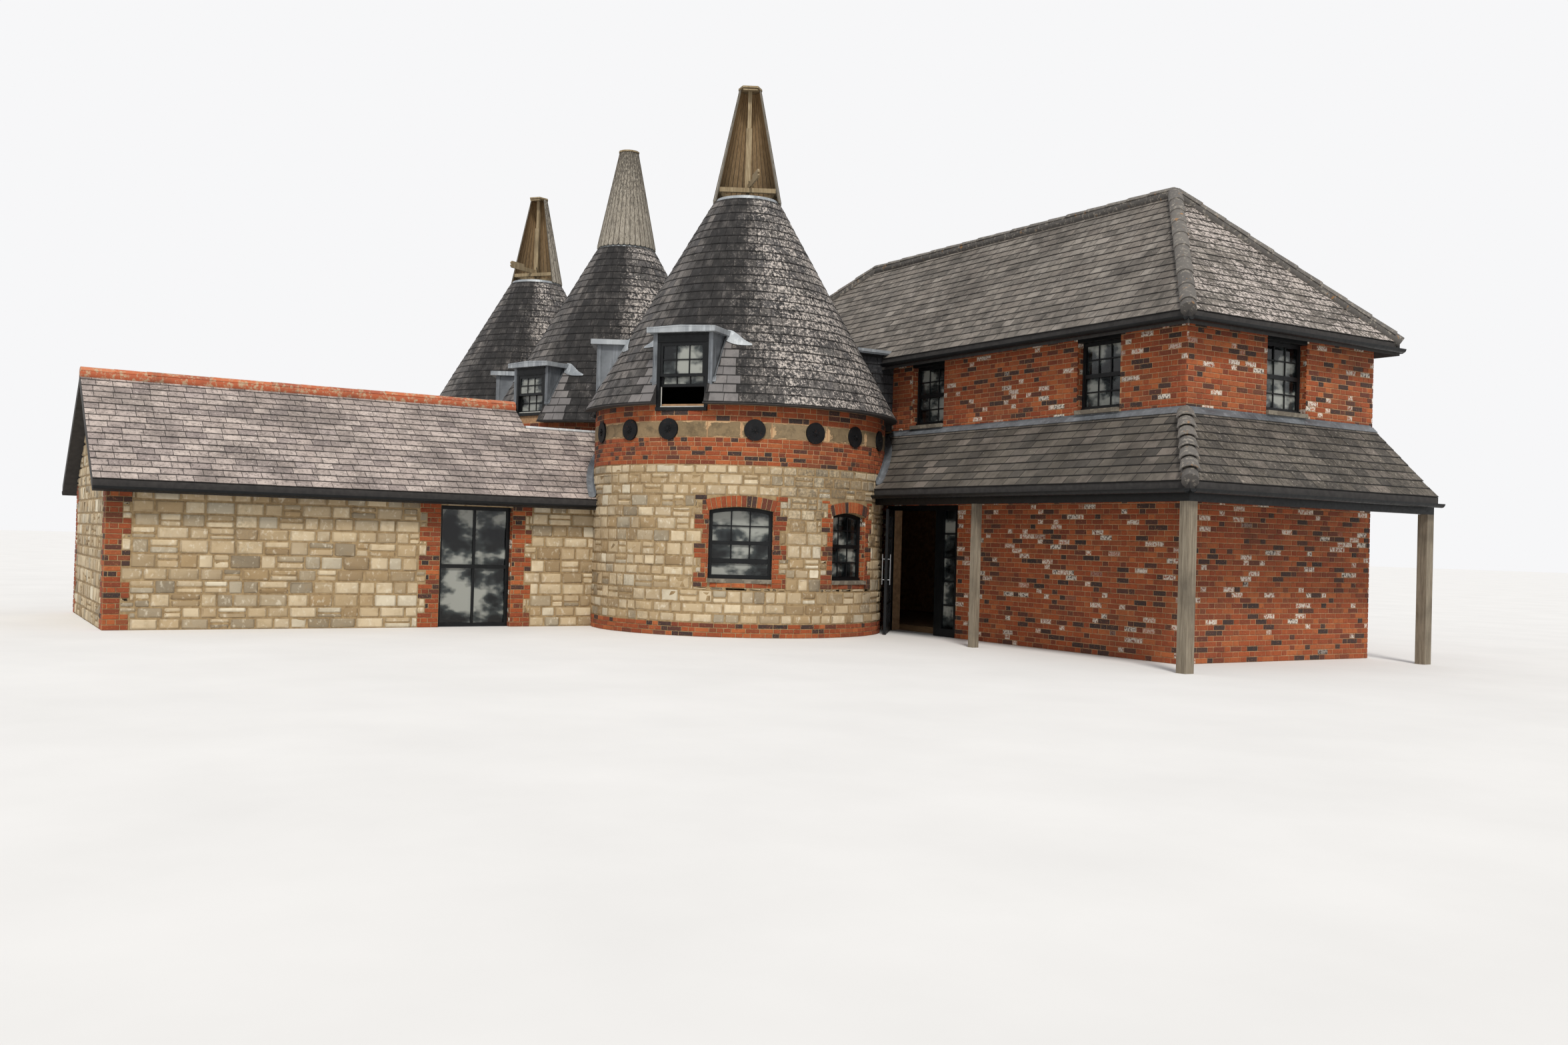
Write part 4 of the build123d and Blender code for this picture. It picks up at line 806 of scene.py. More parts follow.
# %% Trimming a ring to its bay
def trim_to_bay(piece, number):
    """Cut a kiln's piece where the next kiln begins, and at the stowage."""
    x = KILN_X[number - 1]
    if number > 1:
        trim(piece, (x + KILN_SPACING / 2, 0, 0), (1, 0, 0))
    if number < 3:
        trim(piece, (x - KILN_SPACING / 2, 0, 0), (-1, 0, 0))
        trim(piece, (0, FRONT - 0.002, 0), (0, 1, 0))
    return piece


# %% [markdown]
# A window in a rough stone wall needs straight sides, so the masons built them of brick.
# The bricks are toothed: three courses reach far into the stone, the next three less far.
# Over the head the bricks stand on end in a low arch, which carries the wall above. On the
# round wall that fan is laid flat first, and the wall's own curve then bends it.

# %% Brick surrounds of the kiln windows
# window: direction in degrees, width, head and sill
KILN_WINDOWS = [(-29.0, 0.98, 1.99, 0.83), (17.0, 0.82, 1.96, 0.83)]
ARCH_HEIGHT, ARCH_RISE, ARCH_REACH = 0.175, 0.06, 0.045
QUOIN_WIDE, QUOIN_NARROW = 0.23, 0.115


def surround(middle, width, head, sill):
    """Rectangles of brick beside, under and over a window, in steps of three courses."""
    step = 3 * BRICK_GAUGE
    blocks = []
    bottom, wide = sill - BRICK_GAUGE, True
    while bottom < head + ARCH_HEIGHT - 0.01:
        top = min(bottom + step, head + ARCH_HEIGHT)
        reach = QUOIN_WIDE if wide else QUOIN_NARROW
        blocks.append((middle - width / 2 - reach, middle - width / 2, bottom, top))
        blocks.append((middle + width / 2, middle + width / 2 + reach, bottom, top))
        bottom, wide = top, not wide
    blocks.append((middle - width / 2, middle + width / 2, sill - BRICK_GAUGE, sill))
    blocks.append((middle - width / 2, middle + width / 2, head, head + ARCH_HEIGHT))
    return blocks


def arch_bricks(middle, width, head):
    """Bricks on end over a window, fanned over its low arch on the round wall."""
    bend = (width**2 / 4 + ARCH_RISE**2) / (2 * ARCH_RISE)
    spread = 2 * (width / 2 + 0.03) / bend
    count = round(spread * bend / (BRICK_GAUGE * 0.98))
    edges = np.linspace(-spread / 2, spread / 2, count + 1) * bend
    cells = [(a + BRICK_JOINT / 2, b - BRICK_JOINT / 2, 0.004, ARCH_HEIGHT - 0.004, 0.009, rng.random())
             for a, b in zip(edges[:-1], edges[1:])]
    wall = on_cylinder(KILN_X[0], KILN_RADIUS)

    def fan(along, up, out):
        turn = along / bend
        centre_height = head - bend
        return wall(middle + (bend + up) * np.sin(turn), centre_height + (bend + up) * np.cos(turn), out)
    return lay("kiln_1_arch", brick, cells, fan)


def window_bricks(direction, width, head, sill):
    """Bricks beside and under a window, what they take out of the stone, and its arch."""
    middle = radians(direction) * KILN_RADIUS
    blocks = surround(middle, width, head, sill)
    half = width / 2 + ARCH_REACH
    under_arch = (middle - half, middle + half, head - ARCH_RISE, head + ARCH_HEIGHT)
    rows = []
    for left, right, low, high in blocks[:-1]:
        rows += cut_out(mixed_bond(left + 0.005, right - 0.005, low, high, 0.3), [under_arch])
    holes = [*blocks, (middle - width / 2, middle + width / 2, sill, head)]
    return rows, holes, arch_bricks(middle, width, head)


# %% Stones, bricks and the sandstone band of each kiln
RAGSTONE_ROUGH = 0.0035
BAND_JOINT = 0.014


def dormer_slots(number):
    """What the dormers whose sills lie below the eaves take out of the top courses."""
    slots = []
    for kiln, direction, width, foot, _ in DORMERS:
        if kiln == number and foot < EAVE:
            middle = radians(direction) * KILN_RADIUS
            slots.append((middle - width / 2 + DORMER_POST, middle + width / 2 - DORMER_POST, foot, EAVE))
    return slots


def band_blocks():
    """Sandstone blocks round a kiln, each of its own length."""
    spot, blocks = -ROUND / 2, []
    while spot < ROUND / 2:
        last = min(spot + rng.uniform(0.42, 0.95), ROUND / 2)
        blocks.append((spot, last, BAND_LOW + 0.006, BAND_HIGH - 0.006, 0.008, rng.random()))
        spot = last + BAND_JOINT
    return blocks


for number, x in enumerate(KILN_X, 1):
    wall = on_cylinder(x, KILN_RADIUS)
    stones = rubble(-ROUND / 2, ROUND / 2, PLINTH_TOP, STONE_TOP)
    rows = mixed_bond(-ROUND / 2, ROUND / 2, 0, PLINTH_TOP)
    arches = []
    for window in (KILN_WINDOWS if number == 1 else ()):
        beside, holes, arch = window_bricks(*window)
        stones = cut_out(stones, holes)
        rows += beside
        arches.append(arch)
    piece = lay(f"kiln_{number}_ragstones", stone, stones, wall, rough=RAGSTONE_ROUGH)
    dress(trim_to_bay(piece, number), ragstone)

    rows += mixed_bond(-ROUND / 2, ROUND / 2, STONE_TOP, BAND_LOW, 0.62)
    rows += cut_out(mixed_bond(-ROUND / 2, ROUND / 2, BAND_HIGH, EAVE - 0.018, 0.45), dormer_slots(number))
    piece = trim_to_bay(lay(f"kiln_{number}_bricks", brick, rows, wall), number)
    if arches:
        piece = join("kiln_1_bricks", [piece, *arches])
    dress(piece, kiln_brick)

    piece = lay(f"kiln_{number}_sandstone", ashlar, band_blocks(), wall, rough=0.001)
    dress(trim_to_bay(piece, number), sandstone)
    paint(stone_mortar, f"kiln_{number}_stone_wall")
    paint(brick_mortar, f"kiln_{number}_brick_band")

# %% [markdown]
# The stowage walls are flat, so their bricks are simpler: one rectangle of Flemish bond a
# wall, with the windows, the entrance and the strip behind the lean-to's lead taken out.
# The front and the back carry on round the corners by the thickness of a brick's relief.

# %% Sizes of the stowage
NEAR_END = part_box("stowage_front_wall_upper")[1].x
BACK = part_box("stowage_back_wall")[1].y
WALL_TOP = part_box("stowage_front_wall_upper")[1].z - 0.012
ENTRANCE_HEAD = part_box("stowage_front_wall_left")[1].z
ENTRANCE_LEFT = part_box("stowage_front_wall_left")[1].x
ENTRANCE_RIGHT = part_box("stowage_front_wall_right")[0].x
LEAN_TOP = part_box("lean_to_roof_front")[1].z
SASH_WIDTH, SASH_SILL, SASH_HEAD = 0.85, 3.44, 4.495
FRONT_SASHES, BACK_SASHES = (1.995, 5.925), (-2.4, 1.995, 5.925)
END_SASH = FRONT + 2.05
LEAN_TO_SLAB = 0.13
RETURN = 0.007
print("stowage", round(NEAR_END - FAR_END, 2), "by", round(BACK - FRONT, 2), "m")

# %% Brickwork of the stowage
def sash_hole(middle):
    """What a stowage window takes out of its wall."""
    return middle - SASH_WIDTH / 2, middle + SASH_WIDTH / 2, SASH_SILL, SASH_HEAD


lead_strip = (LEAN_TOP - LEAN_TO_SLAB, SASH_SILL)
stowage_walls = {
    "front": (on_plane((0, FRONT, 0), (1, 0, 0)), FAR_END - RETURN, NEAR_END + RETURN,
              [sash_hole(x) for x in FRONT_SASHES]
              + [(ENTRANCE_LEFT, ENTRANCE_RIGHT, 0, ENTRANCE_HEAD), (0, NEAR_END + 0.1, *lead_strip)]),
    "near_end": (on_plane((NEAR_END, 0, 0), (0, 1, 0)), FRONT, BACK,
                 [sash_hole(END_SASH), (FRONT - 0.1, BACK + 0.1, *lead_strip)]),
    "back": (on_plane((0, BACK, 0), (-1, 0, 0)), -NEAR_END - RETURN, -FAR_END + RETURN,
             [sash_hole(-x) for x in BACK_SASHES]),
    "far_end": (on_plane((FAR_END, 0, 0), (0, -1, 0)), -BACK, -FRONT, [sash_hole(-END_SASH)]),
}
for side, (wall, left, right, holes) in stowage_walls.items():
    rows = cut_out(flemish(left, right, 0, WALL_TOP), holes)
    dress(lay(f"stowage_{side}_bricks", brick, rows, wall), stowage_brick)

paint(brick_mortar, "stowage_front_wall_left", "stowage_front_wall_right", "stowage_front_wall_upper",
      "stowage_back_wall", "stowage_near_end_wall", "stowage_far_end_wall")

# %% [markdown]
# The wing is built of buff stone in courses, with toothed brick at its corners and beside
# its glazed screen. The gable's stones are laid to the full height of the ridge, and then
# cut along both slopes of the roof, as bisect does in one step.

# %% Sizes of the wing
WING_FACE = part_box("wing_front_wall")[1].x
WING_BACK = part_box("wing_back_wall")[0].x
WING_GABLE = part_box("wing_gable_wall")[0].y
WING_RIDGE_X = (WING_FACE + WING_BACK) / 2
WING_WALL_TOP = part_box("wing_front_wall")[1].z - 0.012
ROOF_LOW, ROOF_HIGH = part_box("wing_roof_front")
WING_SLAB = 0.16
WING_PITCH = (ROOF_HIGH.z - (ROOF_LOW.z + WING_SLAB)) / (ROOF_HIGH.x - WING_RIDGE_X)
GABLE_DROP = 0.175
SCREEN_LOW, SCREEN_HIGH, SCREEN_HEAD = -4.9, -3.73, 1.9
KILN_JOIN = 2.31
print("wing", round(WING_FACE - WING_BACK, 2), "m deep, pitch", round(WING_PITCH, 2))

# %% Stone and brick of the wing
WING_QUOIN_WIDE, WING_QUOIN_NARROW = 0.33, 0.215
WING_COURSE, WING_LONGEST, WING_ROUGH = 0.19, 0.42, 0.003


def corner_blocks(edge, inwards):
    """Toothed brick rectangles up a corner or jamb: inwards is 1 or -1 along the wall."""
    blocks, bottom, wide = [], 0.0, True
    while bottom < WING_WALL_TOP - 0.02:
        high = min(bottom + 3 * BRICK_GAUGE, WING_WALL_TOP)
        reach = edge + inwards * (WING_QUOIN_WIDE if wide else WING_QUOIN_NARROW)
        blocks.append((min(edge, reach), max(edge, reach), bottom, high))
        bottom, wide = high, not wide
    return blocks


wing_walls = {
    "front": (on_plane((WING_FACE, 0, 0), (0, 1, 0)), WING_GABLE, -KILN_JOIN,
              corner_blocks(WING_GABLE, 1) + corner_blocks(SCREEN_LOW, -1) + corner_blocks(SCREEN_HIGH, 1),
              [(SCREEN_LOW, SCREEN_HIGH, 0, SCREEN_HEAD)]),
    "back": (on_plane((WING_BACK, 0, 0), (0, -1, 0)), KILN_JOIN + 0.1, -WING_GABLE,
             corner_blocks(-WING_GABLE, -1), []),
    "gable": (on_plane((0, WING_GABLE, 0), (1, 0, 0)), WING_BACK, WING_FACE,
              corner_blocks(WING_BACK, 1) + corner_blocks(WING_FACE, -1), []),
}
for side, (wall, left, right, blocks, holes) in wing_walls.items():
    top = ROOF_HIGH.z if side == "gable" else WING_WALL_TOP
    stones = cut_out(rubble(left, right, 0, top, WING_COURSE, WING_LONGEST), blocks + holes)
    rows = []
    for a, b, c, d in blocks:
        rows += flemish(a + 0.004, b - 0.004, c, d)
    pieces = [lay(f"wing_{side}_stones", stone, stones, wall, rough=WING_ROUGH),
              lay(f"wing_{side}_quoins", brick, cut_out(rows, holes), wall)]
    if side == "gable":
        under = (WING_RIDGE_X, WING_GABLE, ROOF_HIGH.z - GABLE_DROP)
        for piece in pieces:
            trim(piece, under, (-WING_PITCH, 0, 1))
            trim(piece, under, (WING_PITCH, 0, 1))
    dress(pieces[0], buff_stone)
    dress(pieces[1], kiln_brick)

paint(stone_mortar, "wing_front_wall", "wing_back_wall", "wing_gable_wall")

# %% [markdown]
# A slate roof is a pattern of overlaps. Each slate lies on the tail of the two below it, so
# its own tail stands a little proud and throws the thin dark line that draws every course.
# Here a slate is a thin slab that is tilted as it is laid. On the cones the courses are
# rings, and the slates get narrower towards the top, as they do on the real kilns. Slates
# are left out where a dormer comes through.

# %% Parts of the slate finish
WASHED = 2.0
# way of the painted sunlight: slopes that look this way get more pale lichen and more moss
PAINTED_SUN_WAY = (0.86, 0.5, 0)
# near black for the joints, and for the dirt and painted shade at the tails and under each course
JOINT_AND_SHADE_DARK = chart(26, 25, 25)


def lichen_with_painted_sun(place, washed, amount):
    """Spots, how much of them shows as lichen, and the moss between. Both lie thicker on the side that looks
    towards the sun: real lichen, spread so that it also paints sunlight on that side.
    """
    facing = node("NewGeometry").outputs["Normal"]
    painted_sun_side = between(ways(facing, PAINTED_SUN_WAY), 0.12, 0.5, 0.15, 1)
    groups = noise(place, 1.7, 3)
    much = sums(between(groups, 0.36, 0.56, 0.45, 1), painted_sun_side, "MULTIPLY")
    line = between(much, 0, 1, 0.7, 0.7 - 0.17 * amount)
    spots = noise(place, 21, 3, 0.8)
    shown = between(sums(spots, line, "SUBTRACT"), -0.01, 0.02, 0, 0.85)
    shown = sums(shown, sums(1, washed, "SUBTRACT"), "MULTIPLY")
    moss = between(spots, 0.47, 0.38, 0, sums(painted_sun_side, 0.75, "MULTIPLY"))
    return spots, shown, moss


def stain_share(rain, washed, direction):
    """How black the rain off a cowl has made the side that looks towards a direction."""
    facing = node("NewGeometry").outputs["Normal"]
    looks = between(ways(facing, (*heading(direction), 0)), 0.72, 0.82)
    near = sums(looks, between(rain, 0.34, 0.48, 0.6, 1), "MULTIPLY")
    stained = sums(near, sums(1, washed, "SUBTRACT"), "MULTIPLY")
    return sums(stained, 0.88, "MULTIPLY")


def joint_and_shade_share():
    """Dark joints, tails darkened by dirt and painted shade, and the painted shade that the next course
    throws.
    """
    across, up = share_within()
    joint = between(from_middle(across), 0.955, 0.985, 0, 0.6)
    tail = between(up, 0.045, 0.085, 0.9, 0)
    shaded = between(up, 0.7, 0.77, 0, 0.7)
    return sums(sums(joint, tail, "MAXIMUM"), shaded, "MAXIMUM")


# %% Slate finishes
def slate_finish(name, tones, speckle, amount, streak, stain_way=None):
    """Weathered slate. tones are its colours, speckle the lichen and amount how much there is.

    A slate whose tone is raised by WASHED lies below lead, where no lichen grows. Water
    that runs off a cowl blackens the side that looks towards stain_way, in degrees.
    """
    finish = new_finish(name, 0.82, shine=0.22)
    place = at()
    washed = between(tone_of(), 1.4, 1.6)
    own = sums(tone_of(), sums(washed, WASHED, "MULTIPLY"), "SUBTRACT")
    tint = even_ramp(own, tones)
    cloud = noise(place, 1.4, 3)
    tint = stain(tint, cloud, 0.46, 0.62, 0.5, shade(tones[0], 0.6))
    rain = noise(at((7, 7, 0.45)), 1.0, 4, 0.6)
    tint = over(between(rain, 0.48, 0.6, 0, streak), tint, shade(tones[0], 0.32))
    spots, shown, moss = lichen_with_painted_sun(place, washed, amount)
    tint = over(shown, tint, chart(*speckle))
    tint = over(moss, tint, shade(tones[0], 0.5))
    tint = over(sums(washed, 0.5, "MULTIPLY"), tint, shade(tones[0], 1.5))
    if stain_way is not None:
        tint = over(stain_share(rain, washed, stain_way), tint, shade(tones[0], 0.4))
    # joints, tails and the band under each course go near black: dark joints, dirt, and painted shade
    tint = over(joint_and_shade_share(), tint, JOINT_AND_SHADE_DARK)
    grain = noise(at((1, 1, 0.4)), 85, 5, 0.7)
    return set_surface(finish, tint, sums(grain, spots), 0.003)


kiln_slate = slate_finish(
    "kiln_slate", [(92, 89, 88), (112, 107, 103), (80, 78, 78), (126, 120, 115), (98, 95, 92)],
    (198, 188, 179), 1.12, 0.6, -47)
stowage_slate = slate_finish(
    "stowage_slate", [(120, 112, 104), (137, 129, 120), (105, 99, 92), (150, 142, 133)],
    (204, 192, 184), 1.2, 0.4)
# darker tones than the stowage's slates: painted shade of the trees over the lean-to
shaded_lean_to_slate = slate_finish(
    "shaded_lean_to_slate", [(92, 86, 78), (110, 103, 94), (78, 74, 69), (124, 115, 106)],
    (156, 147, 136), 0.5, 0.25)
wing_slate = slate_finish(
    "wing_slate", [(168, 154, 146), (186, 171, 162), (150, 137, 132), (200, 185, 175), (174, 160, 154)],
    (212, 200, 190), 0.5, 0.2)
# near-black boarding: partly black fascia paint, partly painted shade where it shows between slates, under
# eaves and behind the hung slates
boarding_and_shade = plain_finish("roof_boarding", 0.9, 12, (46, 44, 43), (62, 59, 57))
print("slates:", [finish.name for finish in (kiln_slate, stowage_slate, shaded_lean_to_slate, wing_slate)])

# %% Sizes of the cone roofs
CONE_TOP_RADIUS = 0.57
CONE_FALL = CONE_RADIUS - CONE_TOP_RADIUS
SLANT = sqrt(CONE_FALL**2 + (CONE_TOP - EAVE) ** 2)
# how far the slope leans out and how far it climbs in a metre along it
LEAN_OUT, LEAN_UP = CONE_FALL / SLANT, (CONE_TOP - EAVE) / SLANT
COURSES = 25
GAUGE = SLANT / COURSES
OVERLAP = 0.30
SLATE_LIFT, SLATE_TILT = 0.009, 0.008
SLATE_GAP = 0.0025
TOP_SLATE_WIDTH, EAVE_SLATE_MORE = 0.125, 0.115

DORMER_RADIUS = KILN_RADIUS - 0.02
DORMER_FOOT = EAVE + (CONE_RADIUS - DORMER_RADIUS) * (CONE_TOP - EAVE) / CONE_FALL
DORMER_EAVE = 0.073
DORMER_ROOF = 0.1
print(COURSES, "courses of", round(GAUGE, 3), "m up a slant of", round(SLANT, 2), "m")

# %% Cone roofs
def on_cone(x):
    """Cone roof: along is metres round its eaves, up is metres up the slope."""
    def place(along, up, out):
        turn = along / CONE_RADIUS
        reach = CONE_RADIUS - up * LEAN_OUT + out * LEAN_UP
        return x + reach * np.cos(turn), reach * np.sin(turn), EAVE + up * LEAN_UP + out * LEAN_OUT
    return place


def dormer_holes(number, low, high):
    """What the dormers take out of one course, in metres round the eaves."""
    holes = []
    height = EAVE + (low + high) / 2 * LEAN_UP
    radius = CONE_RADIUS - (low + high) / 2 * LEAN_OUT
    for kiln, direction, width, _, roof in DORMERS:
        if kiln != number or height > roof + DORMER_ROOF:
            continue
        if height < DORMER_FOOT:
            half = width / 2 - DORMER_POST
        elif height < roof:
            half = width / 2
        else:
            half = width / 2 + DORMER_EAVE
        reach = asin(half / radius) * CONE_RADIUS
        middle = radians(direction) * CONE_RADIUS
        holes.append((middle - reach, middle + reach, -1, 9))
    return holes


def washed_strips(number, low):
    """Where rain off a dormer's lead keeps the slates of one course clean."""
    strips = []
    for kiln, direction, width, _, roof in DORMERS:
        if kiln == number and EAVE + low * LEAN_UP < roof - 0.05:
            middle = radians(direction) * CONE_RADIUS
            left, right = middle - width / 2, middle + width / 2
            strips += [(right, right + 0.42), (left - 0.3, left)]
    return strips


def cone_courses(number):
    """All slates of one cone, course by course."""
    cells = []
    for course in range(COURSES):
        low, high = course * GAUGE, min((course + 1 + OVERLAP) * GAUGE, SLANT)
        radius = CONE_RADIUS - low * LEAN_OUT
        wide = TOP_SLATE_WIDTH + EAVE_SLATE_MORE * (radius - CONE_TOP_RADIUS) / CONE_FALL
        count = round(2 * pi * radius / wide)
        edges = np.cumsum(rng.uniform(0.8, 1.2, count))
        edges = (edges / edges[-1] * 2 - 1) * pi * CONE_RADIUS
        gap = SLATE_GAP * CONE_RADIUS / radius
        washed = washed_strips(number, low)
        row = [(a + gap, b - gap, low + rng.uniform(-0.003, 0.003), high,
                SLATE_LIFT + rng.uniform(-0.0015, 0.002),
                rng.random() + WASHED * any(left < (a + b) / 2 < right for left, right in washed))
               for a, b in zip(np.r_[-pi * CONE_RADIUS, edges[:-1]], edges)]
        cells += cut_out(row, dormer_holes(number, low, low + GAUGE))
    return cells


for number, x in enumerate(KILN_X, 1):
    piece = lay(f"kiln_{number}_slates", slate, cone_courses(number), on_cone(x), tilt=SLATE_TILT)
    dress(trim_to_bay(piece, number), kiln_slate)
    paint(boarding_and_shade, f"kiln_{number}_cone_roof")

# %% [markdown]
# A straight slope is slated as a rectangle that is as long as its eaves. Where a side of
# the slope slants, at a hip, the slates are cut along it, just as a slater would do with
# a knife. Slates that would lie inside a kiln are left out.

# %% Straight slopes
SLOPE_GAUGE, SLOPE_WIDTH = 0.17, 0.26


def slate_rows(length, rise, wide):
    """Slates over a rectangle, each row with its own joints."""
    cells = []
    count = round(rise / SLOPE_GAUGE)
    gauge = rise / count
    for row in range(count):
        low, high = row * gauge, min((row + 1 + OVERLAP) * gauge, rise)
        spot = -rng.uniform(0.1, 0.9) * wide
        while spot < length:
            width = wide * rng.uniform(0.85, 1.15)
            first, last = max(spot, 0), min(spot + width, length)
            if last - first > SLIVER:
                cells.append((first + 0.002, last - 0.002, low + rng.uniform(-0.002, 0.003), high,
                              SLATE_LIFT + rng.uniform(-0.0015, 0.002), rng.random()))
            spot += width
    return cells


def slope_frame(low_left, low_right, high_left):
    """Origin, way along, way up, length and rise of a slope seen from outside."""
    start, end, top = Vector(low_left), Vector(low_right), Vector(high_left)
    along = (end - start).normalized()
    up = top - start
    up -= along * up.dot(along)
    return start, along, up.normalized(), (end - start).length, up.length


def slate_slope(name, low_left, low_right, high_right, high_left, finish, holes=(), keep=None):
    """Slate one slope, given by its corners seen from outside. Slanted sides are cut as hips."""
    start, along, up, length, rise = slope_frame(low_left, low_right, high_left)
    place = on_plane(start, along, up)
    cells = cut_out(slate_rows(length, rise, SLOPE_WIDTH), holes)
    if keep:
        middles = [place((c[0] + c[1]) / 2, (c[2] + c[3]) / 2, 0.0) for c in cells]
        cells = [cell for cell, middle in zip(cells, middles) if keep(*middle)]
    piece = lay(name, slate, cells, place, tilt=SLATE_TILT)
    for low, high, way in ((low_left, high_left, -1), (low_right, high_right, 1)):
        hip = Vector(high) - Vector(low)
        if abs(hip.dot(along)) > 0.01:
            away = Vector((hip.y, -hip.x, 0)).normalized()
            trim(piece, low, away if away.dot(along) * way > 0 else -away)
    return dress(piece, finish)


def clear_of_kilns(x, y, z):
    """True where a slate isn't inside a kiln's cone or wall."""
    for kiln_x in KILN_X[:2]:
        share = min(max((z - EAVE) / (CONE_TOP - EAVE), 0), 1)
        radius = (CONE_RADIUS - share * CONE_FALL) if z > EAVE else KILN_RADIUS
        if (x - kiln_x) ** 2 + y**2 < (radius - 0.06) ** 2 and z < CONE_TOP:
            return False
    return True


print("slopes have slates", SLOPE_WIDTH, "m wide in rows", SLOPE_GAUGE, "m apart")

# %% [markdown]
# The stowage roof is hipped at both ends: two long slopes and two triangles meet in a
# ridge that is shorter than the eaves. Each end of the ridge lies a fixed run behind its
# end wall's eaves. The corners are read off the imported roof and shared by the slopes, so
# that neighbours meet in one line.

# %% Stowage roof
STOWAGE_EAVE = 4.66
NEAR_HIP_RUN, FAR_HIP_RUN = 2.346, 3.301
EAVE_FAR, EAVE_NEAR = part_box("stowage_roof_front")[0].x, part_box("stowage_roof_front")[1].x
EAVE_FRONT, EAVE_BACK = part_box("stowage_roof_front")[0].y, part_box("stowage_roof_back")[1].y
STOWAGE_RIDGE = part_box("stowage_roof_front")[1].z
RIDGE_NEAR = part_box("stowage_roof_back")[1].x - NEAR_HIP_RUN
RIDGE_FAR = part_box("stowage_roof_back")[0].x + FAR_HIP_RUN
RIDGE_Y = (FRONT + BACK) / 2
near_front, near_back = (EAVE_NEAR, EAVE_FRONT, STOWAGE_EAVE), (EAVE_NEAR, EAVE_BACK, STOWAGE_EAVE)
far_front, far_back = (EAVE_FAR, EAVE_FRONT, STOWAGE_EAVE), (EAVE_FAR, EAVE_BACK, STOWAGE_EAVE)
ridge_near, ridge_far = (RIDGE_NEAR, RIDGE_Y, STOWAGE_RIDGE), (RIDGE_FAR, RIDGE_Y, STOWAGE_RIDGE)

slate_slope("stowage_slates_front", far_front, near_front, ridge_near, ridge_far, stowage_slate,
            keep=clear_of_kilns)
slate_slope("stowage_slates_back", near_back, far_back, ridge_far, ridge_near, stowage_slate)
slate_slope("stowage_slates_near_end", near_front, near_back, ridge_near, ridge_near, stowage_slate)
slate_slope("stowage_slates_far_end", far_back, far_front, ridge_far, ridge_far, stowage_slate)
for side in ("front", "back", "near_end", "far_end"):
    paint(boarding_and_shade, f"stowage_roof_{side}")

# %% [markdown]
# The lean-to wraps round the near corner in two slopes that meet in one hip. The front
# slope starts at the first kiln, where its slates stop at the round wall.

# %% Lean-to roof
LEAN_X, LEAN_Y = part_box("lean_to_roof_end")[1].x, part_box("lean_to_roof_end")[0].y
LEAN_EAVE = 2.36
lean_corner = (LEAN_X, LEAN_Y, LEAN_EAVE)
lean_top = (NEAR_END, FRONT, LEAN_TOP)
slate_slope("lean_to_slates_front", (0, LEAN_Y, LEAN_EAVE), lean_corner, lean_top, (0, FRONT, LEAN_TOP),
            shaded_lean_to_slate, keep=clear_of_kilns)
slate_slope("lean_to_slates_end", lean_corner, (LEAN_X, BACK, LEAN_EAVE), (NEAR_END, BACK, LEAN_TOP),
            lean_top, shaded_lean_to_slate)
paint(boarding_and_shade, "lean_to_roof_front", "lean_to_roof_end")

# %% [markdown]
# The wing's roof has a ridge only as far as the second kiln. Beyond that its top is cut
# off lower down, by the lead valley against the kiln, so the upper slates have a hole.

# %% Wing roof
WING_EAVE, WING_RIDGE = 2.07, ROOF_HIGH.z
WING_VERGE, WING_EAVE_X = ROOF_LOW.y, ROOF_HIGH.x
RIDGE_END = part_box("wing_ridge_tiles")[1].y
VALLEY_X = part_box("wing_valley_lead")[1].x
wing_rise = sqrt((WING_EAVE_X - WING_RIDGE_X) ** 2 + (WING_RIDGE - WING_EAVE) ** 2)
valley_rise = wing_rise * (WING_EAVE_X - VALLEY_X) / (WING_EAVE_X - WING_RIDGE_X)
wing_length = -WING_VERGE
upper_hole = (wing_length + RIDGE_END, wing_length + 1, valley_rise, wing_rise + 1)
slate_slope("wing_slates_front", (WING_EAVE_X, WING_VERGE, WING_EAVE), (WING_EAVE_X, 0, WING_EAVE),
            (WING_RIDGE_X, 0, WING_RIDGE), (WING_RIDGE_X, WING_VERGE, WING_RIDGE), wing_slate,
            holes=[upper_hole], keep=clear_of_kilns)
back_eave = 2 * WING_RIDGE_X - WING_EAVE_X
back_hole = (-1, -RIDGE_END, valley_rise, wing_rise + 1)
slate_slope("wing_slates_back", (back_eave, 0, WING_EAVE), (back_eave, WING_VERGE, WING_EAVE),
            (WING_RIDGE_X, WING_VERGE, WING_RIDGE), (WING_RIDGE_X, 0, WING_RIDGE), wing_slate,
            holes=[back_hole], keep=clear_of_kilns)
paint(boarding_and_shade, "wing_roof_front", "wing_roof_back")

# %% [markdown]
# Finishes of the joinery and the metalwork. Timber outside is either painted nearly black
# or left to turn silver grey, with its grain along the board. Lead is grey with a pale
# bloom that runs down it in streaks, and clay and stone carry lichen.

# %% Paint, timber, lead and glass
def black_paint_finish():
    """Old black gloss paint, worn duller in places."""
    finish = new_finish("black_paint", 0.42, shine=0.25)
    place = at()
    worn = noise(place, 7, 5, 0.65)
    tint = even_ramp(worn, [(9, 11, 12), (20, 22, 24)], 0.35, 0.7)
    gloss = between(noise(place, 22, 3), 0.3, 0.7, 0.32, 0.55)
    return set_surface(finish, tint, noise(place, 60, 3), 0.0008, gloss)


def timber_finish(name, tones, grain_way=(14, 14, 0.8)):
    """Weathered timber, its grain along the axis that grain_way stretches least."""
    finish = new_finish(name, 0.86)
    streaks = noise(at(grain_way), 3, 6, 0.7)
    tint = even_ramp(streaks, tones, 0.3, 0.7)
    stains = noise(at(), 1.9, 4)
    tint = stain(tint, stains, 0.5, 0.72, 0.45, shade(tones[0], 0.6))
    return set_surface(finish, tint, streaks, 0.003)


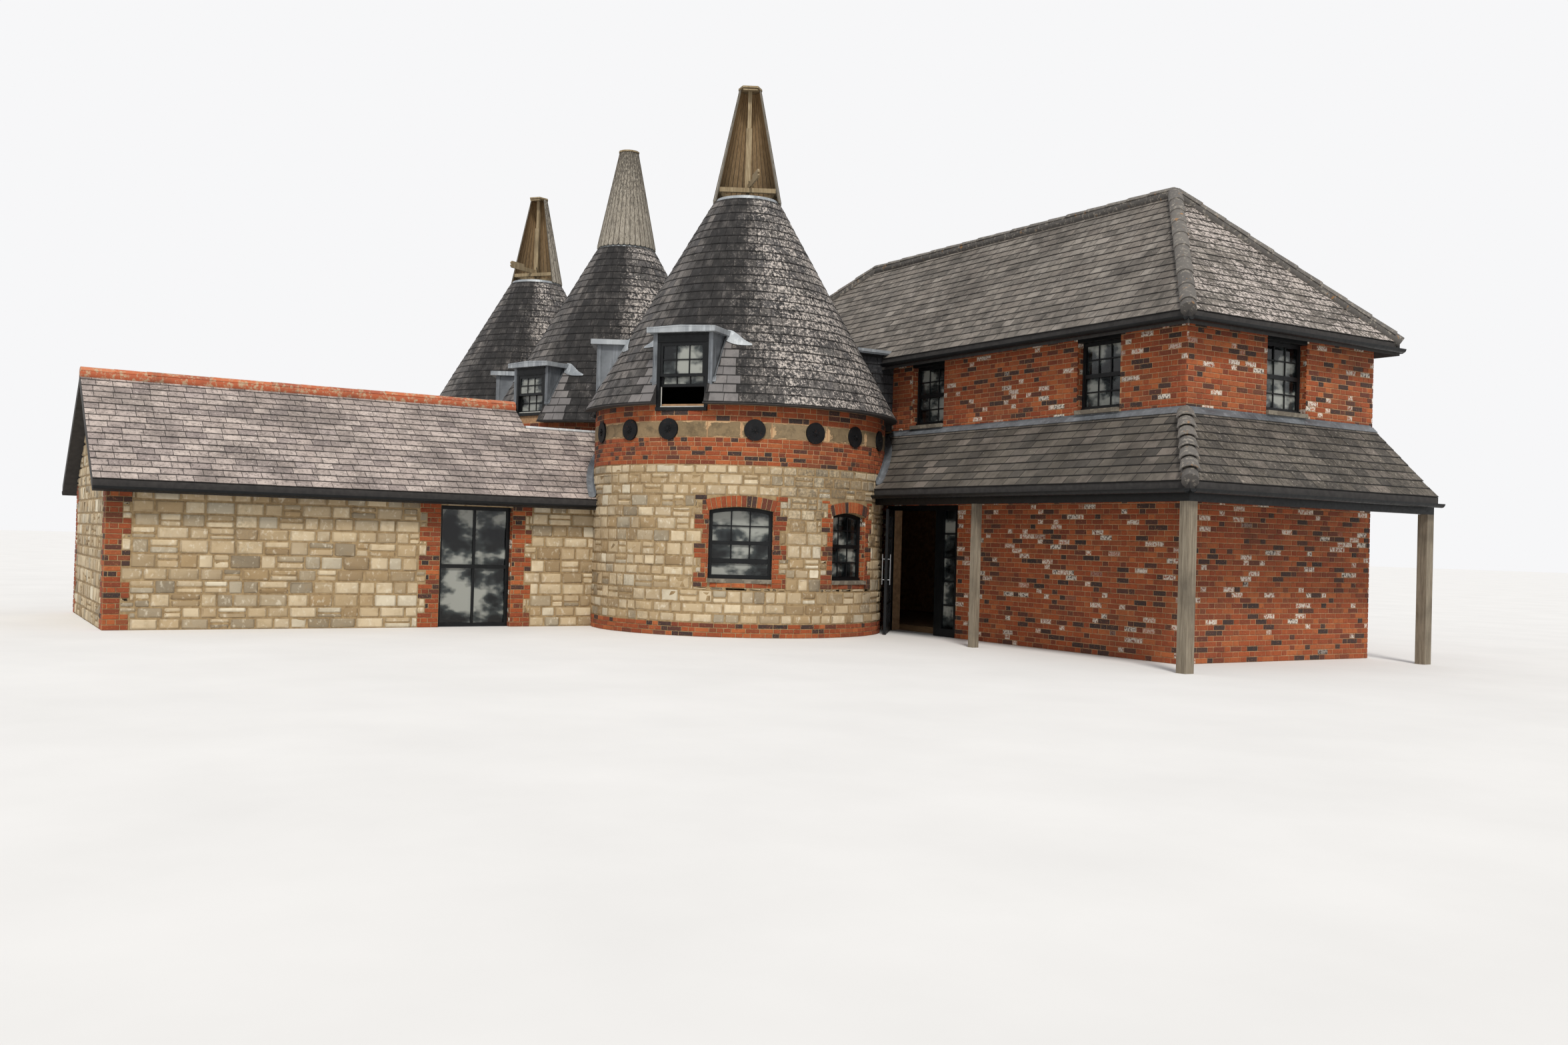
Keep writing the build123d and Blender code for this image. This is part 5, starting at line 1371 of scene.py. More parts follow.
def lead_finish(name, low, high, rough=0.5):
    """Sheet lead with a pale bloom that runs down it."""
    finish = new_finish(name, rough, 0.25)
    place = at()
    cloud = noise(place, 2.6, 5, 0.6)
    tint = even_ramp(cloud, [low, high], 0.34, 0.66)
    runs = noise(at((11, 11, 0.7)), 1.4, 5, 0.65)
    tint = stain(tint, runs, 0.52, 0.7, 0.6, shade(high, 1.22))
    gloss = between(cloud, 0.3, 0.7, rough - 0.12, rough + 0.14)
    return set_surface(finish, tint, noise(place, 9, 2), 0.004, gloss)


GLASS_ALPHA = 0.7


def glass_finish():
    """Glass that lets some light through. Clouds stand for what is reflected in it."""
    finish = new_finish("window_glass", 0.04)
    finish.node_tree.nodes["Principled BSDF"].inputs["Alpha"].default_value = GLASS_ALPHA
    cloud = noise(at((1, 1, 1.6)), 1.9, 3)
    tint = ramp(cloud, [
        (0.42, chart(16, 19, 21)), (0.5, chart(60, 66, 66)), (0.6, chart(168, 170, 162))])
    return set_surface(finish, tint)


black_paint = black_paint_finish()
# silver oak of the lean-to posts, darkened as painted shade of the trees
oak_in_shade = timber_finish("silver_oak", [(96, 86, 71), (126, 115, 98), (148, 138, 120)])
lead = lead_finish("grey_lead", (82, 86, 90), (120, 124, 128))
pale_lead = lead_finish("pale_lead", (126, 131, 136), (168, 172, 174))
glass = glass_finish()
print("joinery, lead and glass:", [f.name for f in (black_paint, oak_in_shade, lead, pale_lead, glass)])

# %% Clay, cement, iron and floor boards
def clay_finish():
    """Red clay tiles with pale lichen and soot."""
    finish = new_finish("clay_tile", 0.85)
    place = at()
    tint = ramp(tone_of(), [
        (0.0, chart(176, 92, 58)), (0.4, chart(196, 110, 70)),
        (0.7, chart(160, 84, 60)), (1.0, chart(206, 128, 88))])
    lichen = noise(place, 13, 6, 0.7)
    tint = stain(tint, lichen, 0.5, 0.6, 0.75, chart(186, 172, 140))
    soot = noise(place, 3, 4)
    tint = stain(tint, soot, 0.52, 0.7, 0.5, chart(96, 64, 50))
    return set_surface(finish, tint, lichen, 0.004)


def cap_tile_finish():
    """Grey capping of the hips, with orange and pale lichen."""
    finish = new_finish("grey_cap_tile", 0.85)
    place = at()
    tint = even_ramp(tone_of(), [(86, 82, 78), (108, 103, 97), (94, 90, 86)])
    lichen = noise(place, 15, 6, 0.7)
    tint = stain(tint, lichen, 0.54, 0.62, 0.7, chart(158, 150, 138))
    orange = noise(at((1.2, 1, 0.9)), 8, 5, 0.7)
    tint = stain(tint, orange, 0.62, 0.68, 0.75, chart(168, 118, 56))
    return set_surface(finish, tint, lichen, 0.004)


def iron_finish():
    """Black iron with specks of rust."""
    finish = new_finish("black_iron", 0.65, shine=0.2)
    place = at()
    rust = noise(place, 26, 5, 0.7)
    tint = even_ramp(noise(place, 8, 3), [(10, 11, 13), (24, 25, 27)], 0.3, 0.7)
    tint = stain(tint, rust, 0.6, 0.7, 0.6, chart(92, 54, 34))
    return set_surface(finish, tint, rust, 0.0015)


def flooring_finish():
    """Boards inside, 0.15 m wide, that run along X."""
    finish = new_finish("floor_boards", 0.7)
    aside = node("SeparateXYZ", {"Vector": at()}).outputs["Y"]
    board = fraction(sums(aside, 6.6, "MULTIPLY"))
    joint = between(board, 0.93, 0.97)
    grain = noise(at((1, 12, 12)), 2.5, 6, 0.7)
    tint = even_ramp(grain, [(112, 84, 56), (150, 118, 82)], 0.3, 0.7)
    return set_surface(finish, over(joint, tint, chart(44, 32, 22)), grain, 0.002)


clay = clay_finish()
cap_tile = cap_tile_finish()
iron = iron_finish()
flooring = flooring_finish()

paint(black_paint, "window_frames", "dormer_sashes", "entrance_frame", "entrance_door", "gutters",
      "lean_to_beam")
paint(glass, "window_glass", "sidelight_glass", "entrance_door_glass")
paint(oak_in_shade, "lean_to_posts")
paint(lead, "dormer_cheeks", "lean_to_flashing", "link_roof", "wing_valley_lead")
paint(pale_lead, "dormer_roofs", "kiln_curbs")
paint(cap_tile, "stowage_ridge_and_hips", "lean_to_hip_tiles")
paint(clay, "wing_ridge_tiles")
paint(iron, "pattress_plates")
paint(sill_stone, "window_sills")
paint(flooring, "upper_floors", "ground_floors")
paint(boarding_and_shade, "link_walls")
print("painted with", len(bpy.data.materials), "finishes")

# %% [markdown]
# A sash window is two glazed frames that slide past each other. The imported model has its
# box frame, its meeting rail and its glass, and what is missing are the thin glazing bars
# that divide each sash into six panes, the step between box and sash, and a black timber
# sill. A bar is a short block whose front edges are bevelled, and it is stretched to length
# like the bricks. The bricks also turn the corner into each opening.

# %% Bars, box edges and sill of a window
REVEAL = 0.110
FRAME_WIDTH = 0.060
SILL_STONE = 0.060
BAR_WIDTH, BAR_BACK = 0.020, 0.012
BOX_EDGE, BOX_PROUD = 0.024, 0.008
SCREEN_BAR = 0.045
PLAIN_TONE = 0.5


def pane_bars(left, right, low, high, depth, columns=3, rows=2, width=BAR_WIDTH):
    """Bars that divide a pane."""
    cells = []
    for column in range(1, columns):
        middle = left + (right - left) * column / columns
        cells.append((middle - width / 2, middle + width / 2, low, high, -depth, PLAIN_TONE))
    for row in range(1, rows):
        middle = low + (high - low) * row / rows
        cells.append((left, right, middle - width / 2, middle + width / 2, -depth, PLAIN_TONE))
    return cells


def window_trim(width, low, high, raised=0.0):
    """Bars, box edges and sill of one sash window."""
    inner = width / 2 - FRAME_WIDTH
    half = (high - low - 3 * FRAME_WIDTH) / 2
    lower, upper = low + FRAME_WIDTH, low + 2 * FRAME_WIDTH + half
    cells = pane_bars(-inner, inner, upper, upper + half, BAR_BACK)
    if raised:
        cells += pane_bars(-inner, inner, lower + raised, lower + half, BAR_BACK, rows=1)
        cells.append((-inner, inner, lower + raised - 0.075, lower + raised, 0.0, PLAIN_TONE))
    else:
        cells += pane_bars(-inner, inner, lower, lower + half, BAR_BACK)
    for side in (-1, 1):
        edges = sorted((side * width / 2, side * (width / 2 - BOX_EDGE)))
        cells.append((*edges, low, high - 0.07, BOX_PROUD, PLAIN_TONE))
    cells.append((-width / 2, width / 2, low, low + 0.042, 0.03, PLAIN_TONE))
    return cells


print("a kiln window has", len(window_trim(0.98, 0.83, 1.99)), "bars and edges")

# %% Windows
RAISED_SASH = 0.25
SOFFIT_PROUD = 0.012


def wall_spot(direction, width, depth):
    """Middle of the opening of a kiln window, at a depth behind the wall's face."""
    ahead_x, ahead_y = heading(direction)
    reach = sqrt(KILN_RADIUS**2 - (width / 2) ** 2) - depth
    return reach * ahead_x, reach * ahead_y


windows = []
for direction, width, head, sill in KILN_WINDOWS:
    place = looking(direction, *wall_spot(direction, width, REVEAL))
    raised = RAISED_SASH if direction < 0 else 0.0
    windows.append((place, window_trim(width, sill + SILL_STONE, head, raised)))
sash_low = SASH_SILL + SILL_STONE
sash_cells = window_trim(SASH_WIDTH, sash_low, SASH_HEAD)
half = SASH_WIDTH / 2
sash_cells.append((-half, half, SASH_HEAD, WALL_TOP + 0.01, REVEAL + 0.01, PLAIN_TONE))
stowage_sashes = [(-90, x, FRONT + REVEAL) for x in FRONT_SASHES]
stowage_sashes += [(90, x, BACK - REVEAL) for x in BACK_SASHES]
stowage_sashes += [(0, NEAR_END - REVEAL, END_SASH), (180, FAR_END + REVEAL, END_SASH)]
for direction, x, y in stowage_sashes:
    windows.append((looking(direction, x, y), sash_cells))
    # the same black board lines the underside of the opening
    ahead_x, ahead_y = heading(direction)
    under = on_plane((x, y, SASH_HEAD), (-ahead_y, ahead_x, 0), (ahead_x, ahead_y, 0))
    windows.append((under, [(-half, half, -0.01, REVEAL + 0.01, SOFFIT_PROUD, PLAIN_TONE)]))

# the tall screen of the wing has one bar up its middle
screen_middle = (SCREEN_LOW + SCREEN_HIGH) / 2
screen_half = (SCREEN_HIGH - SCREEN_LOW) / 2 - FRAME_WIDTH
screen_pane = (SCREEN_HEAD - 3 * FRAME_WIDTH) / 2
screen_cells = []
for bottom in (FRAME_WIDTH, 2 * FRAME_WIDTH + screen_pane):
    screen_cells += pane_bars(-screen_half, screen_half, bottom, bottom + screen_pane,
                              BAR_BACK, 2, 1, SCREEN_BAR)
windows.append((looking(0, WING_FACE - REVEAL, screen_middle), screen_cells))

bars = [lay("window_bars", bar, cells, place) for place, cells in windows]
dress(join("window_bars", bars), black_paint)

# %% [markdown]
# A window stands back in its wall, so bricks also show on both side faces of the opening.
# They are rows like those outside, on planes that run back into the wall, and they stand
# less proud, so that they hardly narrow the opening.

# %% Bricks that turn into the openings
JAMB_PROUD = 0.004


def jambs(direction, x, y, width, low, high):
    """Bricks on both side faces of an opening in a wall that looks towards a direction."""
    ahead_x, ahead_y = heading(direction)
    outwards, along = Vector((ahead_x, ahead_y, 0)), Vector((-ahead_y, ahead_x, 0))
    pieces = []
    for side in (-1, 1):
        corner = Vector((x, y, 0)) + along * (side * width / 2)
        first, last = (0.002, REVEAL - 0.002) if side < 0 else (0.002 - REVEAL, -0.002)
        rows = flemish(first, last, low, high, JAMB_PROUD)
        pieces.append(lay("jamb_bricks", brick, rows, on_plane(corner, outwards * side)))
    return pieces


jamb_bricks = []
for direction, x, y in (*[(-90, x, FRONT) for x in FRONT_SASHES], *[(90, x, BACK) for x in BACK_SASHES],
                        (0, NEAR_END, END_SASH), (180, FAR_END, END_SASH)):
    jamb_bricks += jambs(direction, x, y, SASH_WIDTH, sash_low, SASH_HEAD)
jamb_bricks += jambs(0, WING_FACE, screen_middle, SCREEN_HIGH - SCREEN_LOW, 0, SCREEN_HEAD)
for direction, width, head, sill in KILN_WINDOWS:
    x, y = wall_spot(direction, width, 0)
    jamb_bricks += jambs(direction, x, y, width, sill + SILL_STONE, head - ARCH_RISE)
dress(join("jamb_bricks", jamb_bricks), stowage_brick)

# %% [markdown]
# The entrance leaf stands open, so its bars ride on the leaf and turn with it. Their plane
# is built from the hinge: one way along the leaf, one way through it. The bars lie on both
# faces of the glass, and the sidelight beside the leaf has bars on the outside only.

# %% Entrance: bars of the leaf and of the sidelight
LEAF_OPEN = 40.0
LEAF_BAR, LEAF_BAR_BACK, SIDELIGHT_BACK, SIDELIGHT_POST = 0.028, 0.004, 0.02, 0.2
HINGE_BARREL, LEAF_CLEARANCE, LEAF_WIDTH, LEAF_THICKNESS = 0.012, 0.005, 1.25, 0.045
LEAF_STILE, LEAF_RAIL, LEAF_BOTTOM, JAMB = 0.110, 0.130, 0.010, 0.080
frame_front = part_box("entrance_frame")[0].y + 2 * HINGE_BARREL
hinge_x = ENTRANCE_LEFT + JAMB
leaf_top = ENTRANCE_HEAD - JAMB - LEAF_CLEARANCE
leaf_turn = radians(-LEAF_OPEN)
leaf_along = Vector((cos(leaf_turn), sin(leaf_turn), 0))
leaf_in = Vector((-sin(leaf_turn), cos(leaf_turn), 0))
hinge = Vector((hinge_x, frame_front - HINGE_BARREL, 0))
pane = (LEAF_CLEARANCE + LEAF_STILE, LEAF_CLEARANCE + LEAF_WIDTH - LEAF_STILE,
        LEAF_BOTTOM + LEAF_RAIL, leaf_top - LEAF_STILE)
front_side = on_plane(hinge + leaf_in * HINGE_BARREL, leaf_along)
back_side = on_plane(hinge + leaf_in * (HINGE_BARREL + LEAF_THICKNESS), -leaf_along)
leaf_bars = [
    lay("leaf_bars", bar, pane_bars(*pane, LEAF_BAR_BACK, 3, 5, LEAF_BAR), front_side),
    lay("leaf_bars", bar, pane_bars(-pane[1], -pane[0], *pane[2:], LEAF_BAR_BACK, 3, 5, LEAF_BAR), back_side),
]
dress(join("entrance_door_bars", leaf_bars), black_paint, "entrance_door")

light_left = hinge_x + LEAF_WIDTH + 2 * LEAF_CLEARANCE + SIDELIGHT_POST
light_right = ENTRANCE_RIGHT - JAMB
cells = pane_bars(light_left, light_right, LEAF_RAIL, ENTRANCE_HEAD - JAMB, SIDELIGHT_BACK, 1, 5, LEAF_BAR)
dress(lay("sidelight_bars", bar, cells, on_plane((0, frame_front, 0), (1, 0, 0))), black_paint)

# %% [markdown]
# Each dormer has two sliding sashes of six panes each. Their bars are laid like those of
# the windows, on a plane that looks along the dormer's own direction. A pale bead lies on
# the sill, and two thin mouldings run along the board over the sashes.

# %% Sashes of the dormers
DORMER_SILL = 0.055
DORMER_HEAD = 0.152
SASH_BOX, SASH_RAIL, SASH_TRACK, SASH_DEPTH = 0.055, 0.045, 0.008, 0.040
RAISED = (0.320, 0.0, 0.0, 0.0)


def dormer_plane(dormer, distance):
    """Upright plane at a distance from a kiln's axis that looks along a dormer's direction."""
    ahead_x, ahead_y = heading(dormer[1])
    return looking(dormer[1], KILN_X[dormer[0] - 1] + distance * ahead_x, distance * ahead_y)


def cone_at(height):
    """Outer radius of a cone roof at a height."""
    return CONE_RADIUS - (height - EAVE) / (CONE_TOP - EAVE) * CONE_FALL


def sash_cells_of(dormer, raised):
    """Bars of both sashes, mouldings and pale beads of a dormer."""
    _, _, width, foot, roof = dormer
    sill = foot + DORMER_SILL
    sash = (roof - sill - DORMER_HEAD + SASH_RAIL) / 2
    half = width / 2 - DORMER_POST - SASH_BOX
    pane = half - SASH_RAIL
    upper = roof - DORMER_HEAD - sash + SASH_RAIL
    lower = sill + raised + SASH_RAIL
    tall = sash - 2 * SASH_RAIL
    board, board_low = half + SASH_BOX - 0.004, roof - DORMER_HEAD + 0.012
    bars = [pane_bars(-pane, pane, upper, upper + tall, SASH_TRACK + 0.003),
            pane_bars(-pane, pane, lower, lower + tall, 2 * SASH_TRACK + SASH_DEPTH + 0.003)]
    mouldings = [(-board, board, board_low, board_low + 0.02, 0.012, PLAIN_TONE),
                 (-board, board, roof - 0.03, roof - 0.002, 0.016, PLAIN_TONE)]
    edge = half - 0.002
    beads = [(-edge, edge, sill + 0.001, sill + 0.022, -0.03, PLAIN_TONE)]
    if raised:
        beads.append((-edge, -edge + 0.012, sill, sill + raised, -0.052, PLAIN_TONE))
    return bars, mouldings, beads


sash_bars, pale_beads = [], []
for dormer, raised in zip(DORMERS, RAISED):
    place = dormer_plane(dormer, DORMER_RADIUS)
    bars, mouldings, beads = sash_cells_of(dormer, raised)
    sash_bars += [lay("sash_bars", bar, cells, place) for cells in bars]
    pale_beads.append(lay("pale_beads", bar, beads, place))
    sash_bars.append(lay("sash_bars", bar, mouldings, place))
dress(join("dormer_sash_bars", sash_bars), black_paint)
bead_paint = plain_finish("pale_bead", 0.6, 8, (176, 174, 166), (206, 204, 196))
dress(join("dormer_beads", pale_beads), bead_paint)


# %% [markdown]
# Lead is soft sheet that a plumber dresses over timber with a mallet, so its edges are
# rolled and its ends are turned down on to the slates. Each dormer has a pale drip along
# its roof, little aprons at the feet of its posts, a strip where its cheeks meet the slates
# and a tail of lead that flares out where the roof runs back into the cone. A sheet is a
# grid that is wrapped round the cone and then given its thickness.

# %% Helpers for sheets of lead
def sheet_grid(name, columns):
    """A flat grid, one metre square and four rows high, to be bent into a sheet."""
    bpy.ops.object.select_all(action="DESELECT")
    bpy.ops.mesh.primitive_grid_add(x_subdivisions=columns, y_subdivisions=4, size=1)
    sheet = bpy.context.active_object
    sheet.name = name
    return sheet


def thicken(sheet, thick):
    """Give a bent sheet its thickness, half to each side."""
    only(sheet)
    thickness = sheet.modifiers.new("sheet", "SOLIDIFY")
    thickness.thickness = thick
    thickness.offset = 0
    bpy.ops.object.modifier_apply(modifier=thickness.name)
    return sheet


def drape(name, outline, x, lift=0.022, columns=10):
    """Sheet of lead wrapped round a cone: outline gives direction, top and bottom along it."""
    sheet = sheet_grid(name, columns)
    shares = np.linspace(0, 1, len(outline))
    rows = np.array(outline, float)
    for vertex in sheet.data.vertices:
        across, up = vertex.co.x + 0.5, vertex.co.y + 0.5
        direction, high, low = (np.interp(across, shares, rows[:, column]) for column in range(3))
        height = low + (high - low) * up
        puff = lift + 0.012 * sin(pi * up) * (1 - across)
        reach = cone_at(height) + puff
        ahead_x, ahead_y = heading(direction)
        vertex.co = (x + reach * ahead_x, reach * ahead_y, height + 0.4 * puff)
    return thicken(sheet, 0.004)


print("a cone is", round(cone_at(DORMER_FOOT), 3), "m in radius at a dormer's foot")

# %% Lead of the dormers
# flare: degrees beyond the dormer's side, top and bottom from its roof
FLARE = ((0, 0.10, -0.09), (2.5, 0.085, -0.13), (5, 0.02, -0.15), (8, -0.07, -0.155), (11, -0.125, -0.15))
APRON_RISE, APRON_DROP, APRON_LIFT = 0.05, 0.085, 0.024
STRIP_WIDTH, STRIP_DEPTH, STRIP_LIFT = 0.012, 0.03, 0.02
DRIP_HEIGHT, DRIP_FALL = 0.026, 0.026


def turn_to(lateral, height):
    """Degrees round a cone to a point that lies aside of a dormer's middle."""
    return np.degrees(asin(lateral / cone_at(height)))


def soaker(x, low_spot, high_spot):
    """Narrow strip up a cone between two spots, each a direction and a height."""
    ends = []
    for direction, height in (low_spot, high_spot):
        ahead_x, ahead_y = heading(direction)
        reach = cone_at(height) + STRIP_LIFT
        ends.append(Vector((x + reach * ahead_x, reach * ahead_y, height)))
    run = ends[1] - ends[0]
    strip = block("lead_soaker", (STRIP_WIDTH, STRIP_DEPTH, 1.0))
    for vertex in strip.data.vertices:
        vertex.co.z *= run.length
    strip.data.transform(run.to_track_quat("Z", "Y").to_matrix().to_4x4())
    strip.data.transform(Matrix.Translation((ends[0] + ends[1]) / 2))
    return strip


def side_lead(dormer, side):
    """Flare, foot apron and strip on one side of a dormer: side is 1 or -1 round the cone."""
    number, direction, width, _, roof = dormer
    x = KILN_X[number - 1]
    start = turn_to(width / 2 + 0.02, roof)
    outline = [(direction + side * (start + step), roof + high, roof + low) for step, high, low in FLARE]
    flare = drape("lead_flare", outline, x)
    foot_top = DORMER_FOOT + APRON_RISE
    spots = [turn_to(lateral, foot_top) for lateral in (width / 2 - DORMER_POST - 0.006, width / 2 + 0.035)]
    outline = [(direction + side * spot, foot_top, foot_top - APRON_DROP) for spot in spots]
    apron = drape("lead_apron", outline, x, APRON_LIFT, 4)
    low_spot, high_spot = ((direction + side * turn_to(width / 2 + 0.012, height), height)
                           for height in (DORMER_FOOT, roof - 0.05))
    return flare, [apron, soaker(x, low_spot, high_spot)]


def dormer_drip(dormer):
    """Two thin bars along the front of a dormer's roof, which falls to both sides."""
    _, _, width, _, roof = dormer
    eave = width / 2 + DORMER_EAVE
    plane = dormer_plane(dormer, DORMER_RADIUS + 0.1)

    def along_roof(along, up, out):
        return plane(along, roof + 0.056 + DRIP_FALL * (1 - np.abs(along) / eave) + up, out)
    cells = [(-eave, 0, 0, DRIP_HEIGHT, 0.004, PLAIN_TONE), (0, eave, 0, DRIP_HEIGHT, 0.004, PLAIN_TONE)]
    return lay("lead_drip", bar, cells, along_roof)


flares, aprons, drips = [], [], []
for dormer in DORMERS:
    for side in (-1, 1):
        flare, low_lead = side_lead(dormer, side)
        flares.append(flare)
        aprons += low_lead
    drips.append(dormer_drip(dormer))
dress(join("dormer_flares", flares), pale_lead)
dress(join("dormer_aprons", aprons), lead)
dress(join("dormer_drips", drips), pale_lead)

# %% [markdown]
# The link between the first kiln and the stowage is hung with slates, nailed upright in
# level rows. The rows start where the cone lets them, so the near ends are cut along it.

# %% Slates of the link
LINK_HALF = 1.0
LINK_LOW, LINK_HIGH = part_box("link_walls")[0].z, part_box("link_walls")[1].z
HUNG_WIDTH = 0.24


def hung_rows():
    """Slates of one side of the link, as far as they clear the cone."""
    rows = []
    for first, last, low, high, *rest in slate_rows(FRONT, LINK_HIGH - LINK_LOW, HUNG_WIDTH):
        height = LINK_LOW + low
        radius = cone_at(height) if height > EAVE else CONE_RADIUS
        start = sqrt(max(radius**2 - LINK_HALF**2, 0)) + 0.01
        if last - 0.03 > start:
            rows.append((max(first, start), last, low, high, *rest))
    return rows


hung = []
for side in (-1, 1):
    rows = hung_rows()
    if side < 0:
        rows = [(-last, -first, *rest) for first, last, *rest in rows]
    place = on_plane((side * LINK_HALF, 0, LINK_LOW), (0, side, 0))
    hung.append(lay("hung_slates", slate, rows, place, tilt=SLATE_TILT))
# dark slate whose tones are darker still as painted shade, since the link lies in shadow
shaded_hung_slate = slate_finish(
    "shaded_hung_slate", [(58, 58, 60), (70, 70, 72), (50, 51, 54), (80, 79, 80)], (112, 108, 104), 0.3, 0.3)
dress(join("link_slates", hung), shaded_hung_slate)

# %% [markdown]
# A flat lead roof is laid in bays, because lead creeps in the sun. Between two bays both
# sheets are dressed over a round batten, the roll. A roll is a block whose two upper long
# edges are bevelled in three steps, and a thin strip closes each side of the roof.

# %% Lead of the link
ROLL_WIDTH, ROLL_HEIGHT, ROLL_BEVEL = 0.045, 0.03, 0.018
ROLLS_AT = (-0.55, 0.0, 0.55)
ROLL_END, STRIP_END = FRONT - 0.14, FRONT - 0.02

link_low, link_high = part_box("link_roof")


def is_top_edge(edge):
    """A long upper edge of a roll."""
    return reaches(edge, 1, 0.1) and edge.verts[0].co.z > link_high.z + 0.02


rolls = []
for x in ROLLS_AT:
    y = sqrt(max(cone_at(link_high.z) ** 2 - x**2, 0)) + 0.05
    middle = (x, (ROLL_END + y) / 2, link_high.z + 0.013)
    roll = block("lead_roll", (ROLL_WIDTH, ROLL_END - y, ROLL_HEIGHT), middle)
    edit(roll, "EDGE")
    pick(roll, is_top_edge, "EDGE")
    bpy.ops.mesh.bevel(offset=ROLL_BEVEL, segments=3, affect="EDGES")
    done()
    rolls.append(roll)
for side in (-1, 1):
    y = sqrt(cone_at(link_low.z) ** 2 - link_high.x**2)
    middle = (side * (link_high.x + 0.004), (STRIP_END + y) / 2, link_high.z - 0.02)
    rolls.append(block("lead_edge", (0.012, STRIP_END - y, 0.05), middle))
dress(join("link_lead_rolls", rolls), pale_lead)

# %% [markdown]
# Where two slopes meet, the joint is covered by half-round tiles of clay or cement. Each
# tile is a slab with cuts across it, so that it bends when it is laid round the roll of the
# ridge, and its upper end slips under the next one. The lean-to's hip is narrower and
# steeper: there the tiles are tilted more, and they step like the treads of a stair.

# %% Ridge and hip tiles
ROLL_RADIUS = 0.105
CAP_LENGTH, CAP_LAP, HIP_START = 0.45, 0.03, 0.13
CAP_SPREAD = 66
tile = slit_unit("tile_unit", (0.33, 0.014, 0.4), 0.004)
units.append(tile)


def on_roll(low_end, high_end, radius=ROLL_RADIUS):
    """Half-round roll between two points: along is metres round it, up is metres along it."""
    start, end = Vector(low_end), Vector(high_end)
    run = (end - start).normalized()
    aside = run.cross(Vector(UPWARDS)).normalized()
    crown = aside.cross(run).normalized()

    def place(along, up, out):
        turn = along / radius
        reach = radius + out
        return [start[i] + run[i] * up + reach * (np.cos(turn) * crown[i] + np.sin(turn) * aside[i])
                for i in range(3)]
    return place


def cap_row(name, low_end, high_end, length, tilt, spread=CAP_SPREAD, start=0.0, end=0.0):
    """Row of tiles on a roll, with joints about length apart. spread is half their arc in degrees."""
    run = (Vector(high_end) - Vector(low_end)).length - end
    count = round((run - start) / length)
    edges = np.linspace(start, run, count + 1)
    half = radians(spread) * ROLL_RADIUS
    cells = [(-half, half, a + 0.002, min(b + CAP_LAP, run),
              0.008 + rng.uniform(-0.002, 0.002), rng.random())
             for a, b in zip(edges[:-1], edges[1:])]
    return lay(name, tile, cells, on_roll(low_end, high_end), tilt=tilt)


stowage_caps = [cap_row("cap_tiles", ridge_far, ridge_near, CAP_LENGTH, 0.012)]
hips = ((near_front, ridge_near), (near_back, ridge_near), (far_front, ridge_far), (far_back, ridge_far))
for foot, head in hips:
    stowage_caps.append(cap_row("cap_tiles", foot, head, CAP_LENGTH, 0.014, start=HIP_START))
dress(join("stowage_cap_tiles", stowage_caps), cap_tile)

steps = cap_row("lean_to_step_tiles", lean_corner, lean_top, 0.27, 0.04, 60, HIP_START, 0.14)
dress(steps, cap_tile)

wing_foot = (WING_RIDGE_X, WING_VERGE + 0.002, WING_RIDGE)
wing_head = (WING_RIDGE_X, RIDGE_END - 0.002, WING_RIDGE)
dress(cap_row("wing_clay_tiles", wing_foot, wing_head, CAP_LENGTH, 0.004, 62), clay)

# %% [markdown]
# Where the wing's roof runs in front of the second kiln it has no ridge tiles, only a pale
# roll of lead along its top edge. The roll is a slab that is bent round a batten, like the
# tiles but much narrower, and it has a joint every sixty centimetres or so.

# %% Lead roll of the wing
LEAD_LENGTH, LEAD_GAP, LEAD_HALF = 0.62, 0.005, 0.07
LEAD_ROLL_RADIUS = 0.03

roll_height = WING_EAVE + valley_rise * (WING_RIDGE - WING_EAVE) / wing_rise
roll_end = -sqrt(CONE_RADIUS**2 - min(VALLEY_X, 0) ** 2) - 0.05
lead_cells = []
for first in np.arange(RIDGE_END + 0.01, roll_end - 0.3, LEAD_LENGTH):
    last = min(first + LEAD_LENGTH - LEAD_GAP, roll_end)
    lead_cells.append((-LEAD_HALF, LEAD_HALF, first - RIDGE_END, last - RIDGE_END, 0.002, rng.random()))
roll_place = on_roll((VALLEY_X, RIDGE_END, roll_height), (VALLEY_X, roll_end, roll_height), LEAD_ROLL_RADIUS)
white_lead = lead_finish("white_lead", (196, 198, 198), (222, 222, 220), 0.45)
dress(lay("wing_lead_roll", tile, lead_cells, roll_place, tilt=0.003), white_lead)

# %% [markdown]
# A cowl is a cone of tapered boards that turns with the wind on an iron-shod post, so that
# its open side always lies to leeward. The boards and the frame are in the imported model,
# and their wood is what remains: silver grey outside with dark runs of rain and lichen near
# the top, warm brown where it is dry inside, and pale on the sawn edges of the opening.
# The finish knows inside from outside by which way a face looks from its own axis.

# %% Cowl timber
COWL_OPENINGS = (-30.0, 150.0, -52.0)
COWL_BASE, COWL_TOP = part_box("cowl_1_boards")[0].z + 0.005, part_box("cowl_1_boards")[1].z
COWL_RADIUS, COWL_TOP_RADIUS = 0.582, 0.185
COWL_BOARDS = 20
BOARD_TURN = 224.0 / COWL_BOARDS
BOARD_GAP = chart(58, 50, 40)


def looks_outwards(x):
    """1 on faces that look away from a cowl's axis, -1 on those that look towards it."""
    geometry = node("NewGeometry").outputs
    level = ways(ways(geometry["Position"], (x, 0, 0), "SUBTRACT", "Vector"),
                 (1, 1, 0), "MULTIPLY", "Vector")
    ray = node("VectorMath", {0: level}, operation="NORMALIZE").outputs["Vector"]
    return ways(ray, geometry["Normal"])


